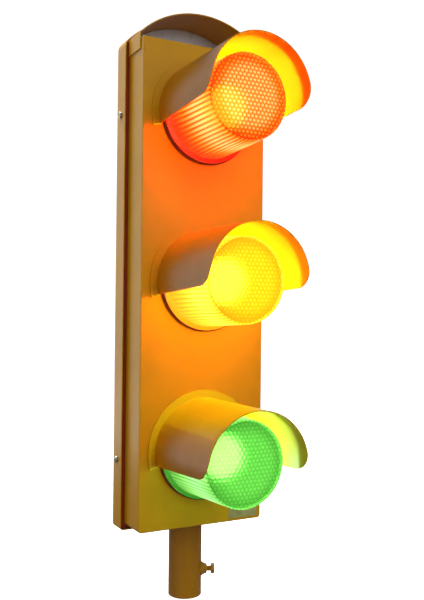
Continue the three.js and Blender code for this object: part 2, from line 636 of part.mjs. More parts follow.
// The ring nut on the spigot, behind the panel, with grip notches round it.
function lockRing(lampZ) {
  const front = PANEL_BACK + GAP;
  const rear = SPIGOT_REAR - 1.5;
  let ring = revolveY([
    [SPIGOT_RADIUS + GAP, front], [LOCK_RING_RADIUS, front],
    [LOCK_RING_RADIUS, rear], [SPIGOT_RADIUS + GAP, rear],
  ], lampZ, 30);
  const notchRadius = LOCK_RING_RADIUS + 1;
  for (let notch = 0; notch < LOCK_RING_NOTCHES; notch += 1) {
    const angle = (notch * 2 * Math.PI) / LOCK_RING_NOTCHES;
    const [x, z] = [notchRadius * Math.cos(angle), lampZ + notchRadius * Math.sin(angle)];
    ring = ring.subtract(bar(4, [x, front - 1, z], [x, rear + 1, z], 6));
  }
  return ring;
}

// The coloured cup: a skirt with lugs, a plain flange, a tapered wall and a bulging face.
function lens(lampZ) {
  const faceRadius = LENS_RADIUS - LENS_EDGE;
  const dome = (radius, front, rise) => [radius, front + rise * ((radius / faceRadius) ** 2 - 1)];
  const inside = LENS_RADIUS - LENS_WALL;
  const outer = [];
  for (let step = 0; step <= 2; step += 1) {
    const angle = (step * Math.PI) / 4;
    outer.push([
      faceRadius + LENS_EDGE * Math.cos(angle), LENS_RIM + LENS_EDGE - LENS_EDGE * Math.sin(angle)]);
  }
  const face = [0.7, 0.4, 0].map((share) => dome(share * faceRadius, LENS_RIM, LENS_CROWN));
  const back = [0, 0.4, 0.7].map((share) => dome(share * faceRadius, LENS_RIM + LENS_WALL, LENS_CROWN));
  let cup = revolveY([
    [SKIRT_RADIUS - LENS_WALL, LENS_BASE], [SKIRT_RADIUS, LENS_BASE], [SKIRT_RADIUS, LENS_FLANGE_BACK],
    [LENS_FLANGE_RADIUS, LENS_FLANGE_BACK], [LENS_FLANGE_RADIUS, LENS_FLANGE_FRONT + LENS_FLANGE_CHAMFER],
    [LENS_FLANGE_RADIUS - LENS_FLANGE_CHAMFER, LENS_FLANGE_FRONT], [LENS_BASE_RADIUS, LENS_FLANGE_FRONT],
    ...outer, ...face, ...back,
    [faceRadius - 1, LENS_RIM + LENS_WALL], [inside, LENS_RIM + LENS_WALL + 2],
    [LENS_BASE_RADIUS - LENS_WALL, LENS_FLANGE_FRONT - LENS_WALL],
    [SKIRT_RADIUS - LENS_WALL, LENS_FLANGE_BACK],
  ], lampZ, 30);
  for (let lug = 0; lug < LUG_COUNT; lug += 1) {
    const centre = 90 + (lug * 360) / LUG_COUNT;
    cup = cup.add(ringSector(SKIRT_RADIUS - 1, LUG_RADIUS, centre - LUG_ANGLE / 2, centre + LUG_ANGLE / 2,
      LENS_BASE - LUG_DEPTH, LENS_BASE, lampZ));
  }
  return cup;
}

// The rubber ring behind the lens, at the bottom of the groove.
function lensSeal(lampZ) {
  const [inner, outer] = [SKIRT_RADIUS - LENS_WALL - 1.5, LUG_RADIUS - 1.5];
  const [front, back] = [LENS_BASE + GAP, GROOVE_BACK - 0.1];
  return revolveY([[inner, front], [outer, front], [outer, back], [inner, back]], lampZ, 20);
}

// The ceramic lampholder, open to the front for the bulb's cap.
function lampholder(lampZ) {
  const { flangeRadius, bodyRadius, boreRadius, front, floor } = LAMPHOLDER;
  const rear = RAIL_FRONT - GAP;
  return revolveY([
    [0, rear], [flangeRadius, rear], [flangeRadius, rear - 4], [bodyRadius, rear - 6],
    [bodyRadius, front + 2], [bodyRadius - 1.5, front], [boreRadius, front],
    [boreRadius, floor], [0, floor],
  ], lampZ, 14);
}

// The bulb's cap, with its narrow contact at the rear.
function bulbCap(lampZ) {
  const { radius, rear, front } = BULB_CAP;
  return revolveY([
    [0, rear], [4.5, rear], [5, rear - 2], [radius - 1.2, rear - 5],
    [radius, rear - 6], [radius, front], [0, front],
  ], lampZ, 14);
}

// The thin glass envelope, open at the neck where the cap closes it.
function bulbGlobe(lampZ) {
  const { neckRadius, waistY, radius, y, glass } = BULB_GLOBE;
  const neckY = BULB_CAP.front - GAP;
  const waistRadius = neckRadius + 1.5;
  const outer = [[neckRadius, neckY], [waistRadius, waistY]];
  const inner = [[neckRadius - glass, neckY], [waistRadius - glass, waistY]];
  const steps = 5;
  for (let step = 0; step < steps; step += 1) {
    const angle = radians(45 - (step * 135) / steps);
    outer.push([radius * Math.cos(angle), y + radius * Math.sin(angle)]);
    inner.push([(radius - glass) * Math.cos(angle), y + (radius - glass) * Math.sin(angle)]);
  }
  outer.push([0, y - radius]);
  inner.push([0, y - radius + glass]);
  return revolveY([...outer, ...inner.reverse()], lampZ, 14);
}

// The insulated wire from a lampholder's side terminal to its way in the terminal block.
// The lowest lamp's wire runs up the left side, clear of the middle lamp's.
function lampLead(lampZ, way) {
  const side = lampZ === LAMP_LOWEST ? -1 : 1;
  const wayZ = terminalWayZ(way);
  const up = Math.sign(wayZ - lampZ);
  const path = new THREE.CatmullRomCurve3([
    new THREE.Vector3(side * 20, -38, lampZ),
    new THREE.Vector3(side * 27, -36, lampZ + up * 12),
    new THREE.Vector3(side * 32, -30, (lampZ + wayZ) / 2),
    new THREE.Vector3(side * 27, -27, wayZ - up * 6),
    new THREE.Vector3(side * 15, -27, wayZ),
  ]);
  const section = new THREE.Shape();
  section.absarc(0, 0, LEAD_RADIUS, 0, 2 * Math.PI, false);
  const geometry = new THREE.ExtrudeGeometry(section, { steps: 12, extrudePath: path, curveSegments: 2 });
  return toSolid(geometry);
}

// ---------- build everything ----------
addNode('front_cover', frontCover(), PAINT);
addNode('rear_cover', rearCover(), PAINT);
addNode('cover_seal', coverSeal(), DARK_RUBBER);
addNode('top_hood', topHood(), PAINT);
addNode('hood_back_plate', hoodBackPlate(), GALVANISED);
addNode('nameplate', nameplate(), LABEL_METAL);
for (const [sideName, side] of [['left', -1], ['right', 1]]) {
  for (const [heightName, z] of [['lower', COVER_SCREW_HEIGHTS[0]], ['upper', COVER_SCREW_HEIGHTS[1]]]) {
    addNode(`cover_screw_${sideName}_${heightName}`,
      panHeadScrew(COVER_SCREW, [side, 0, 0], [side * (COVER_SIDE + GAP), COVER_SCREW_Y, z]), STEEL);
  }
}

addNode('socket_tube', socketTube(), BROWN_PAINT);
addNode('clamp_nut', clampNut(), BROWN_PAINT);
addNode('clamp_bolt', clampBolt(), BROWN_PAINT);
addNode('clamp_pad', clampPad(), BRASS);
addNode('cable_grommet', cableGrommet(), DARK_RUBBER);
for (const [sideName, x] of [['left', TUBE_SCREW_X[0]], ['right', TUBE_SCREW_X[1]]]) {
  addNode(`tube_screw_${sideName}`,
    panHeadScrew(TUBE_SCREW, [0, 0, -1], [x, TUBE_SCREW_Y, BOX_BOTTOM - GAP]), STEEL);
}

addNode('mounting_rail', mountingRail(), GALVANISED);
addNode('terminal_block', terminalBlock(), DARK_PLASTIC);
addNode('earth_stud', earthStud(EARTH_Z), BRASS);
addNode('earth_nut', earthNut(EARTH_Z), BRASS);

for (const [index, lamp] of LAMPS.entries()) {
  addNode(`${lamp.name}_visor`, visor(lamp.z), PAINT);
  addNode(`${lamp.name}_visor_screw_left`, visorScrew(-1, lamp.z), STEEL);
  addNode(`${lamp.name}_visor_screw_right`, visorScrew(1, lamp.z), STEEL);
  addNode(`${lamp.name}_base_ring`, baseRing(lamp.z), DARK_PLASTIC);
  addNode(`${lamp.name}_panel_gasket`, panelGasket(lamp.z), DARK_RUBBER);
  addNode(`${lamp.name}_lock_ring`, lockRing(lamp.z), DARK_PLASTIC);
  addNode(`${lamp.name}_lens_seal`, lensSeal(lamp.z), DARK_RUBBER);
  addNode(`${lamp.name}_lens`, lens(lamp.z),
    { color: lamp.colour, roughness: 0.15, metalness: 0, transparent: true, opacity: 0.85 });
  addNode(`${lamp.name}_lampholder`, lampholder(lamp.z), CERAMIC);
  addNode(`${lamp.name}_bulb_cap`, bulbCap(lamp.z), BRASS);
  addNode(`${lamp.name}_bulb_globe`, bulbGlobe(lamp.z), GLASS);
  addNode(`${lamp.name}_lead`, lampLead(lamp.z, index),
    { color: lamp.colour, roughness: 0.6, metalness: 0 });
}

export default group;
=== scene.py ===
"""Looks of the traffic signal head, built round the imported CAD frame. Metres."""

import math

import bpy
import bmesh
from mathutils import Matrix, Vector


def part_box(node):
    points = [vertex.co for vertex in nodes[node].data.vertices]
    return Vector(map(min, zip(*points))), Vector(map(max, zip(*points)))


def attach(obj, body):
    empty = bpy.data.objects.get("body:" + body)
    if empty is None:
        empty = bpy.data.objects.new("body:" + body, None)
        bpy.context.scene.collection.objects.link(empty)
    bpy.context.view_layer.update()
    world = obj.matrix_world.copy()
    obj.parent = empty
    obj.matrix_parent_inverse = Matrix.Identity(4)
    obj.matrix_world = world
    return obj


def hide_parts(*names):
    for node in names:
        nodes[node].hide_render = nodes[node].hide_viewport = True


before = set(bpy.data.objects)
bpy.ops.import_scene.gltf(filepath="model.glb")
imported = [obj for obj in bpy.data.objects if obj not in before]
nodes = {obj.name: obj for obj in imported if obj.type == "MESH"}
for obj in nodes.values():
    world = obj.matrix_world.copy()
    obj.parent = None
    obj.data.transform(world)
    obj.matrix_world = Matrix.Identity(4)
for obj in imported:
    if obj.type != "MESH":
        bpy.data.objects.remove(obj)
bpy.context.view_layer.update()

MM = 0.001
LAMPS = ("red", "amber", "green")
SIDES = (-1, 1)


def middle(name, axis):
    """The middle of a CAD node along one axis, in millimetres."""
    return sum(getattr(corner, axis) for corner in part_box(name)) / 2 / MM


# --- sizes shared with the CAD, in millimetres ---
SHEET = 1.5
FOLD = 1.7  # outside radius of the folds between faces
CORNER = 5.0  # radius of the housing's lower corners
TOP_CORNER = 2.0  # radius of the box's upper corners
PANEL_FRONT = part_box("front_cover")[0].y / MM
BOX_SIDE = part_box("front_cover")[1].x / MM
BOX_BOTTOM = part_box("front_cover")[0].z / MM
BOX_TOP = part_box("front_cover")[1].z / MM
BOX_DEPTH = 57.0
BOX_REAR = PANEL_FRONT + BOX_DEPTH
COVER_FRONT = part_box("rear_cover")[0].y / MM
COVER_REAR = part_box("rear_cover")[1].y / MM
COVER_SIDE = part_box("rear_cover")[1].x / MM
COVER_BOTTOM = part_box("rear_cover")[0].z / MM
HOOD_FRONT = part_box("top_hood")[0].y / MM
HOOD_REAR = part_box("top_hood")[1].y / MM
HOOD_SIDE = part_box("top_hood")[1].x / MM
HOOD_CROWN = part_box("top_hood")[1].z / MM
HOOD_LEG_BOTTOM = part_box("top_hood")[0].z / MM
HOOD_LEG_REAR = COVER_FRONT + 0.5
HOOD_SPRING = BOX_TOP + 7.5  # where the arch starts
HOOD_RISE = HOOD_CROWN - HOOD_SPRING
HOOD_RADIUS = (HOOD_SIDE**2 + HOOD_RISE**2) / (2 * HOOD_RISE)
HOOD_CENTRE = HOOD_CROWN - HOOD_RADIUS
COVER_ARCH_RADIUS = HOOD_RADIUS + 2.0  # the cover stands proud of the hood
COVER_SCREW_Y = PANEL_FRONT + 64.0
LAMP_Z = {name: middle(f"{name}_panel_gasket", "z") for name in LAMPS}
BULB_Y = -106.0  # the middle of the bulb's globe
TUBE_RADIUS = 24.15
TUBE_BORE = 20.95
TUBE_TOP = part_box("socket_tube")[1].z / MM
CLAMP_ANGLE = math.radians(-26)
CLAMP_Z = 36.5
CLAMP_DIRECTION = Vector((math.cos(CLAMP_ANGLE), math.sin(CLAMP_ANGLE), 0))

# --- camera: the photograph's viewing angle ---
CAMERA_PLACE = (-0.4989, -1.0093, 0.4177)
CAMERA_YAW = 28.14  # degrees to the right of straight ahead
CAMERA_PITCH = 0.74
CAMERA_ROLL = 0.58
FOCAL_LENGTH = 30.39
PICTURE_HEIGHT = 24  # millimetres, as the focal length


def placed(name, data):
    """A new object in the scene."""
    obj = bpy.data.objects.new(name, data)
    bpy.context.scene.collection.objects.link(obj)
    return obj


def add_camera():
    data = bpy.data.cameras.new("camera")
    data.sensor_fit = "VERTICAL"
    data.sensor_height = PICTURE_HEIGHT
    data.lens = FOCAL_LENGTH
    camera = placed("camera", data)
    camera.matrix_world = (
        Matrix.Translation(CAMERA_PLACE)
        @ Matrix.Rotation(math.radians(-CAMERA_YAW), 4, "Z")
        @ Matrix.Rotation(math.radians(90 + CAMERA_PITCH), 4, "X")
        @ Matrix.Rotation(math.radians(CAMERA_ROLL), 4, "Z")
    )
    bpy.context.scene.camera = camera


# --- material helpers ---
class Shader:
    """A node material under construction, with one Principled shader."""

    def __init__(self, name):
        self.material = bpy.data.materials.new(name)
        self.material.use_nodes = True
        self.tree = self.material.node_tree
        self.bsdf = self.tree.nodes["Principled BSDF"]
        self.coordinates = self.add("ShaderNodeTexCoord").outputs["Object"]

    def add(self, kind, **settings):
        node = self.tree.nodes.new(kind)
        for key, value in settings.items():
            setattr(node, key, value)
        return node

    def link(self, source, target):
        self.tree.links.new(source, target)

    def set(self, **sockets):
        for key, value in sockets.items():
            self.bsdf.inputs[key.replace("_", " ")].default_value = value

    def noise(self, scale, detail=3.0, roughness=0.5, stretch=(1, 1, 1)):
        mapping = self.add("ShaderNodeMapping")
        mapping.inputs["Scale"].default_value = stretch
        self.link(self.coordinates, mapping.inputs["Vector"])
        noise = self.add("ShaderNodeTexNoise")
        noise.inputs["Scale"].default_value = scale
        noise.inputs["Detail"].default_value = detail
        noise.inputs["Roughness"].default_value = roughness
        self.link(mapping.outputs["Vector"], noise.inputs["Vector"])
        return noise.outputs["Fac"]

    def ramp(self, factor, stops):
        """A colour ramp; stops are (position, colour) pairs."""
        ramp = self.add("ShaderNodeValToRGB")
        elements = ramp.color_ramp.elements
        for element, (position, colour) in zip(elements, (stops[0], stops[-1])):
            element.position = position
            element.color = (*colour, 1)
        for position, colour in stops[1:-1]:
            elements.new(position).color = (*colour, 1)
        self.link(factor, ramp.inputs["Fac"])
        return ramp.outputs["Color"]

    def span(self, factor, low, high):
        """Maps 0..1 to low..high."""
        node = self.add("ShaderNodeMapRange")
        node.inputs["To Min"].default_value = low
        node.inputs["To Max"].default_value = high
        self.link(factor, node.inputs["Value"])
        return node.outputs["Result"]

    def bump(self, height, strength, distance):
        bump = self.add("ShaderNodeBump")
        bump.inputs["Strength"].default_value = strength
        bump.inputs["Distance"].default_value = distance
        self.link(height, bump.inputs["Height"])
        self.link(bump.outputs["Normal"], self.bsdf.inputs["Normal"])

    def colour(self, source):
        self.link(source, self.bsdf.inputs["Base Color"])

    def roughness(self, source):
        self.link(source, self.bsdf.inputs["Roughness"])


def shade(colour, factor):
    """A lighter or darker tone of a colour."""
    return tuple(channel * factor for channel in colour)


DUST_COLOUR = (0.4, 0.27, 0.1, 1)


def paint_material(name, colour, coat):
    """Sprayed enamel: a little orange peel, cloudy tone, faint dust streaks."""
    shader = Shader(name)
    clouds = shader.noise(14, detail=4)
    tone = shader.ramp(clouds, [(0.3, shade(colour, 0.9)), (0.55, colour), (0.8, shade(colour, 1.06))])
    dust = shader.noise(60, detail=6, roughness=0.7, stretch=(1, 1, 0.25))
    mix = shader.add("ShaderNodeMix", data_type="RGBA", blend_type="MIX")
    shader.link(shader.ramp(dust, [(0.55, (0, 0, 0)), (0.8, (0.08, 0.08, 0.08))]), mix.inputs["Factor"])
    shader.link(tone, mix.inputs["A"])
    mix.inputs["B"].default_value = DUST_COLOUR
    shader.colour(mix.outputs["Result"])
    shader.roughness(shader.span(shader.noise(40), 0.3, 0.46))
    shader.bump(shader.noise(420, detail=1), 0.12, 0.0004)
    shader.set(Coat_Weight=coat, Coat_Roughness=0.22, IOR=1.38)
    return shader.material


def metal_material(name, colour, rough, grain=(1, 1, 1), metallic=1.0):
    """Bare or plated metal with fine grain and slight tarnish."""
    shader = Shader(name)
    tarnish = shader.noise(90, detail=5)
    shader.colour(shader.ramp(tarnish, [(0.3, shade(colour, 0.72)), (0.65, colour)]))
    shader.roughness(shader.span(shader.noise(300, stretch=grain), rough - 0.08, rough + 0.12))
    shader.bump(shader.noise(900, stretch=grain), 0.15, 0.0002)
    shader.set(Metallic=metallic)
    return shader.material


def spangle_material(name):
    """Galvanised sheet with its crystal spangles."""
    shader = Shader(name)
    cells = shader.add("ShaderNodeTexVoronoi")
    cells.inputs["Scale"].default_value = 130
    shader.link(shader.coordinates, cells.inputs["Vector"])
    grey = shader.add("ShaderNodeRGBToBW")
    shader.link(cells.outputs["Color"], grey.inputs["Color"])
    shader.colour(shader.ramp(grey.outputs["Val"], [(0.1, (0.62, 0.64, 0.66)), (0.9, (0.72, 0.74, 0.77))]))
    shader.roughness(shader.span(grey.outputs["Val"], 0.32, 0.55))
    shader.set(Metallic=0.35)
    return shader.material


def matt_material(name, colour, rough, grain=500):
    """Rubber or moulded plastic with a fine moulded texture."""
    shader = Shader(name)
    patches = shader.noise(30, detail=4)
    shader.colour(shader.ramp(patches, [(0.3, shade(colour, 0.75)), (0.7, shade(colour, 1.2))]))
    shader.roughness(shader.span(shader.noise(120), rough - 0.08, rough + 0.1))
    shader.bump(shader.noise(grain, detail=2), 0.25, 0.0003)
    return shader.material


def lens_material(name, tint, stops, strength):
    """Coloured translucent plastic that glows, most on the domes and flutes and near the bulb.

    The stops run from the dimmest to the brightest glow.
    """
    shader = Shader(name)
    mottle = shader.noise(240, detail=2)
    shader.colour(shader.ramp(mottle, [(0.3, shade(tint, 0.9)), (0.7, tint)]))
    shader.set(Roughness=0.34, IOR=1.2, Transmission_Weight=0.55, Coat_Weight=0.06, Coat_Roughness=0.15)
    relief = shader.add("ShaderNodeAttribute", attribute_name="relief").outputs["Fac"]
    near = shader.add("ShaderNodeAttribute", attribute_name="near_bulb").outputs["Fac"]
    light = shader.add("ShaderNodeMath", operation="MULTIPLY")
    shader.link(shader.span(relief, 0.12, 1.0), light.inputs[0])
    shader.link(near, light.inputs[1])
    shader.link(shader.ramp(light.outputs["Value"], stops), shader.bsdf.inputs["Emission Color"])
    shader.bsdf.inputs["Emission Strength"].default_value = strength
    return shader.material


def bulb_material(name, strength):
    """Warm lamp glass, lit, with a slightly cloudy tone."""
    shader = Shader(name)
    tone = shader.noise(25, detail=1)
    shader.link(
        shader.ramp(tone, [(0.3, (1.0, 0.78, 0.5)), (0.7, (1.0, 0.86, 0.62))]),
        shader.bsdf.inputs["Emission Color"])
    shader.colour(shader.ramp(tone, [(0.3, (0.9, 0.88, 0.82)), (0.7, (1, 1, 0.95))]))
    shader.set(Emission_Strength=strength, Roughness=0.3)
    return shader.material


PAINT = paint_material("signal_paint", (0.64, 0.31, 0.003), 0.05)
TUBE_PAINT = paint_material("tube_paint", (0.42, 0.17, 0.004), 0.15)
GALVANISED = spangle_material("galvanised_steel")
ZINC = metal_material("zinc_steel", (0.56, 0.55, 0.5), 0.34)
BRASS = metal_material("brass", (0.78, 0.58, 0.26), 0.3)
LABEL = metal_material("label_plate", (0.55, 0.47, 0.22), 0.45, grain=(0.05, 1, 1), metallic=0.3)
# The seals are dark rubber; their red tint is painted light, the red lamp's glow, on every seal alike.
RED_LIT_SEAL_RUBBER = matt_material("red_lit_seal_rubber", (0.3, 0.03, 0.001), 0.7)
# The rings are dark plastic; their red tint is painted light, the red lamp's glow, on every part made of
# it.
RED_LIT_DARK_PLASTIC = matt_material("dark_plastic", (0.12, 0.011, 0.005), 0.5)
CERAMIC = matt_material("white_ceramic", (0.8, 0.78, 0.72), 0.3, grain=200)
BULB = bulb_material("bulb_glass", 40.0)
LENS_TINT = {"red": (0.8, 0.04, 0.002), "amber": (0.7, 0.32, 0.012), "green": (0.05, 0.28, 0.04)}
LENS_GLOW = {
    "red": ((0.0, (0, 0, 0)), (0.05, (0.6, 0.0, 0.0)), (0.22, (0.9, 0.02, 0.0)),
            (0.45, (1.0, 0.28, 0.0)), (0.85, (1.0, 0.85, 0.3))),
    "amber": ((0.0, (0, 0, 0)), (0.05, (0.6, 0.2, 0.0)), (0.22, (0.8, 0.4, 0.0)),
              (0.45, (0.95, 0.66, 0.01)), (0.85, (1.0, 0.92, 0.14))),
    "green": ((0.0, (0, 0, 0)), (0.04, (0.02, 0.16, 0.01)), (0.2, (0.14, 0.5, 0.07)),
              (0.45, (0.3, 0.8, 0.17)), (0.85, (0.62, 0.97, 0.6))),
}
LENS_STRENGTH = {"red": 0.85, "amber": 0.75, "green": 0.7}
LENS = {
    name: lens_material(f"{name}_lens", LENS_TINT[name], LENS_GLOW[name], LENS_STRENGTH[name])
    for name in LAMPS
}
WIRE_COLOUR = {"red": (0.5, 0.02, 0.01), "amber": (0.6, 0.3, 0.01), "green": (0.01, 0.22, 0.03)}
WIRE = {name: matt_material(f"{name}_wire", WIRE_COLOUR[name], 0.5) for name in LAMPS}


# --- mesh helpers ---
def mesh_object(name, vertices, faces):
    """A linked object from points in millimetres."""
    mesh = bpy.data.meshes.new(name)
    mesh.from_pydata([[c * MM for c in point] for point in vertices], [], faces)
    shape = bmesh.new()
    shape.from_mesh(mesh)
    bmesh.ops.remove_doubles(shape, verts=shape.verts, dist=1e-6)
    bmesh.ops.recalc_face_normals(shape, faces=shape.faces)
    shape.to_mesh(mesh)
    shape.free()
    return placed(name, mesh)


def loft(loops, capped=True):
    """Points and faces of a skin over closed loops with equal point counts."""
    count = len(loops[0])
    vertices = [point for loop in loops for point in loop]
    faces = []
    for row in range(len(loops) - 1):
        for i in range(count):
            a, b = row * count + i, row * count + (i + 1) % count
            faces.append((a, b, b + count, a + count))
    if capped:
        faces.append(tuple(reversed(range(count))))
        faces.append(tuple((len(loops) - 1) * count + i for i in range(count)))
    return vertices, faces


def ring_loft(loops):
    """A skin over closed loops whose last joins its first, such as a ring."""
    vertices, faces = loft(loops, capped=False)
    count, last = len(loops[0]), len(loops) - 1
    for i in range(count):
        j = (i + 1) % count
        faces.append((last * count + i, last * count + j, j, i))
    return vertices, faces


def joined(*parts):
    """Several (vertices, faces) pairs as one."""
    vertices, faces = [], []
    for more_vertices, more_faces in parts:
        start = len(vertices)
        vertices += more_vertices
        faces += [tuple(index + start for index in face) for face in more_faces]
    return vertices, faces


def block(x0, x1, y0, y1, z0, z1):
    """A box between these limits."""
    low = [(x0, y0, z0), (x1, y0, z0), (x1, y1, z0), (x0, y1, z0)]
    return loft([low, [(x, y, z1) for x, y, _ in low]])


def circle(radius, segments):
    """Points of a full circle."""
    angles = [2 * math.pi * i / segments for i in range(segments)]
    return [(radius * math.cos(angle), radius * math.sin(angle)) for angle in angles]


def arc(centre_x, centre_y, radius, start, end, steps):
    """Points on an arc, both ends included; angles in degrees."""
    points = []
    for step in range(steps + 1):
        angle = math.radians(start + (end - start) * step / steps)
        points.append((centre_x + radius * math.cos(angle), centre_y + radius * math.sin(angle)))
    return points


def rod(radius, start, end, segments=32):
    """A plain round cutter or bar between two points."""
    start, end = Vector(start), Vector(end)
    turn = Vector((0, 0, 1)).rotation_difference(end - start).to_matrix()
    loops = [
        [tuple(turn @ Vector((x, y, 0)) + end_point) for x, y in circle(radius, segments)]
        for end_point in (start, end)
    ]
    return loft(loops)


def turned(profile, place, direction, segments=64):
    """Turns a closed profile of (radius, height) points about an axis; radius may reach 0."""
    turn = Vector((0, 0, 1)).rotation_difference(Vector(direction)).to_matrix()
    place = Vector(place)
    loops = []
    for x, y in circle(1, segments):
        loops.append([tuple(turn @ Vector((r * x, r * y, h)) + place) for r, h in profile])
    return ring_loft(loops)


def sector(inner, outer, start, end, y0, y1, centre_z, steps):
    """Part of a flat ring about a lamp's axis; angles in degrees from +X towards +Z."""
    loops = []
    for x, z in arc(0, 0, 1, start, end, steps):
        loops.append([
            (inner * x, y0, centre_z + inner * z), (outer * x, y0, centre_z + outer * z),
            (outer * x, y1, centre_z + outer * z), (inner * x, y1, centre_z + inner * z),
        ])
    return loft(loops)


def changed(obj, kind, **settings):
    """Applies one modifier to an object."""
    modifier = obj.modifiers.new(kind.lower(), kind)
    for key, value in settings.items():
        setattr(modifier, key, value)
    bpy.context.view_layer.update()
    evaluated = obj.evaluated_get(bpy.context.evaluated_depsgraph_get())
    mesh = bpy.data.meshes.new_from_object(evaluated)
    obj.modifiers.clear()
    obj.data = mesh


def combined(obj, operation, *cutters):
    """Combines an object with closed shapes given as (vertices, faces)."""
    for shape in cutters:
        tool = mesh_object("tool", *shape)
        changed(obj, "BOOLEAN", operation=operation, object=tool, solver="EXACT")
        bpy.data.objects.remove(tool)


def cut(obj, *cutters):
    """Cuts closed shapes out of an object."""
    combined(obj, "DIFFERENCE", *cutters)


def finished(obj, name, material, body="housing", edge=0.0, smooth=35.0):
    """Rounds the edges, sets the shading, and puts the piece on its body in place of its CAD node."""
    if edge:
        changed(
            obj, "BEVEL", width=edge * MM, segments=2, limit_method="ANGLE",
            angle_limit=math.radians(smooth), miter_outer="MITER_ARC")
    obj.data.shade_smooth()
    obj.data.set_sharp_from_angle(angle=math.radians(smooth))
    changed(obj, "WEIGHTED_NORMAL", keep_sharp=True)
    obj.data.materials.clear()
    obj.data.materials.append(material)
    obj.name = "look_" + name
    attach(obj, body)
    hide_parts(name)


# --- housing ---
def rounded_outline(side, bottom, top, inset):
    """The box's outline in X and Z, moved inwards by inset."""
    side, bottom, top = side - inset, bottom + inset, top - inset
    low = max(CORNER - inset, 0.8)
    high = max(TOP_CORNER - inset, 0.4)
    points = []
    for x, z, radius, start in (
        (side - low, bottom + low, low, -90), (side - high, top - high, high, 0),
        (high - side, top - high, high, 90), (low - side, bottom + low, low, 180),
    ):
        points += arc(x, z, radius, start, start + 90, 8)
    return points


COVER_BEND = 6.0  # of the corner between the cover's side and its arch


def arched_outline(side, bottom, arch, inset):
    """The rear cover's outline: square below, arched above, moved inwards by inset."""
    radius = max(CORNER - inset, 0.8)
    side, bottom, arch = side - inset, bottom + inset, arch - inset
    spring = math.acos(side / arch)
    points = arc(side - radius, bottom + radius, radius, -90, 0, 8)
    corner = Vector((side, HOOD_CENTRE + arch * math.sin(spring)))
    before = corner - Vector((0, COVER_BEND))
    after_angle = spring + COVER_BEND / arch
    after = Vector((arch * math.cos(after_angle), HOOD_CENTRE + arch * math.sin(after_angle)))
    steps = 6
    for step in range(steps + 1):
        t = step / steps
        points.append(tuple(before * (1 - t) ** 2 + corner * 2 * t * (1 - t) + after * t**2))
    points += arc(0, HOOD_CENTRE, arch, math.degrees(after_angle), 90, 36)[1:-1]
    mirrored = [(-x, z) for x, z in reversed(points)]
    return points + [(0, HOOD_CENTRE + arch)] + mirrored


def tray(outline, closed_y, open_y):
    """A folded sheet tray: closed at closed_y, with rounded folds, open at open_y."""
    inward = math.copysign(1, open_y - closed_y)
    fold_outside = arc(FOLD, FOLD, FOLD, 270, 180, 4)
    fold_inside = arc(FOLD, FOLD, FOLD - SHEET, 180, 270, 4)
    rows = [(inset, closed_y + inward * depth) for inset, depth in fold_outside]
    rows += [(0, open_y), (SHEET, open_y)]
    rows += [(inset, closed_y + inward * depth) for inset, depth in fold_inside]
    return loft([[(x, y, z) for x, z in outline(inset)] for inset, y in rows])


COVER_SCREW_Z = [round(middle(f"cover_screw_right_{height}", "z"), 2) for height in ("lower", "upper")]
VISOR_SCREW_X = middle("red_visor_screw_right", "x")
VISOR_SCREW_DROP = LAMP_Z["red"] - middle("red_visor_screw_right", "z")
VISOR_SCREW_HOLE = 2.0  # radii of the holes
COVER_SCREW_HOLE = 2.9
TAB_HOLE = 2.8
PANEL_HOLE = 50.4
TAB_REACH = 20.0  # of the tabs for the cover screws, each way
TAB_HALF_HEIGHT = 12.0
TAB_GAP = 0.05
TUBE_GAP = 0.6  # between the tube and the covers' notches


def tube_notch(bottom, rear):
    """Cutters that clear the socket tube, open to the rear if rear lies behind the tube's axis."""
    radius = TUBE_RADIUS + TUBE_GAP
    z0, z1 = bottom - 1, bottom + 3
    notch = [rod(radius, (0, 0, z0), (0, 0, z1), 64)]
    if rear > 0:
        notch.append(block(-radius, radius, 0, rear, z0, z1))
    return notch


def panel_cutter(radius, x, z, segments):
    """A cutter for a round hole through the front panel."""
    return rod(radius, (x, PANEL_FRONT - 2, z), (x, PANEL_FRONT + 4, z), segments)


def side_drill(radius, side, wall, z):
    """A cutter for a cover screw's hole through the side wall at x = wall."""
    return rod(radius, (side * (wall - 7), COVER_SCREW_Y, z), (side * (wall + 2), COVER_SCREW_Y, z))


def front_cover():
    """The front tray with its lamp and screw holes, and four screw tabs inside its walls."""
    cover = mesh_object("front_cover", *tray(
        lambda inset: rounded_outline(BOX_SIDE, BOX_BOTTOM, BOX_TOP, inset), PANEL_FRONT, BOX_REAR))
    cutters = tube_notch(BOX_BOTTOM, BOX_REAR + 1)
    for name in LAMPS:
        z = LAMP_Z[name]
        cutters.append(panel_cutter(PANEL_HOLE, 0, z, 96))
        for side in SIDES:
            cutters.append(panel_cutter(VISOR_SCREW_HOLE, side * VISOR_SCREW_X, z - VISOR_SCREW_DROP, 24))
    cut(cover, *cutters)
    for side in SIDES:
        x0, x1 = sorted((side * (BOX_SIDE - 2 * SHEET), side * (BOX_SIDE - SHEET - TAB_GAP)))
        for z in COVER_SCREW_Z:
            tab = mesh_object("tab", *block(
                x0, x1, -TAB_REACH, TAB_REACH, z - TAB_HALF_HEIGHT, z + TAB_HALF_HEIGHT))
            cut(tab, side_drill(TAB_HOLE, side, BOX_SIDE, z))
            merge(cover, tab)
    finished(cover, "front_cover", PAINT, edge=0.3)


def merge(obj, other):
    """Adds another object's mesh to obj and removes the other object."""
    shape = bmesh.new()
    shape.from_mesh(obj.data)
    shape.from_mesh(other.data)
    shape.to_mesh(obj.data)
    shape.free()
    bpy.data.objects.remove(other)


SHELF_GAP = 0.1  # round the shelf inside the rear cover
SHELF_TOP = HOOD_SPRING - 1.6


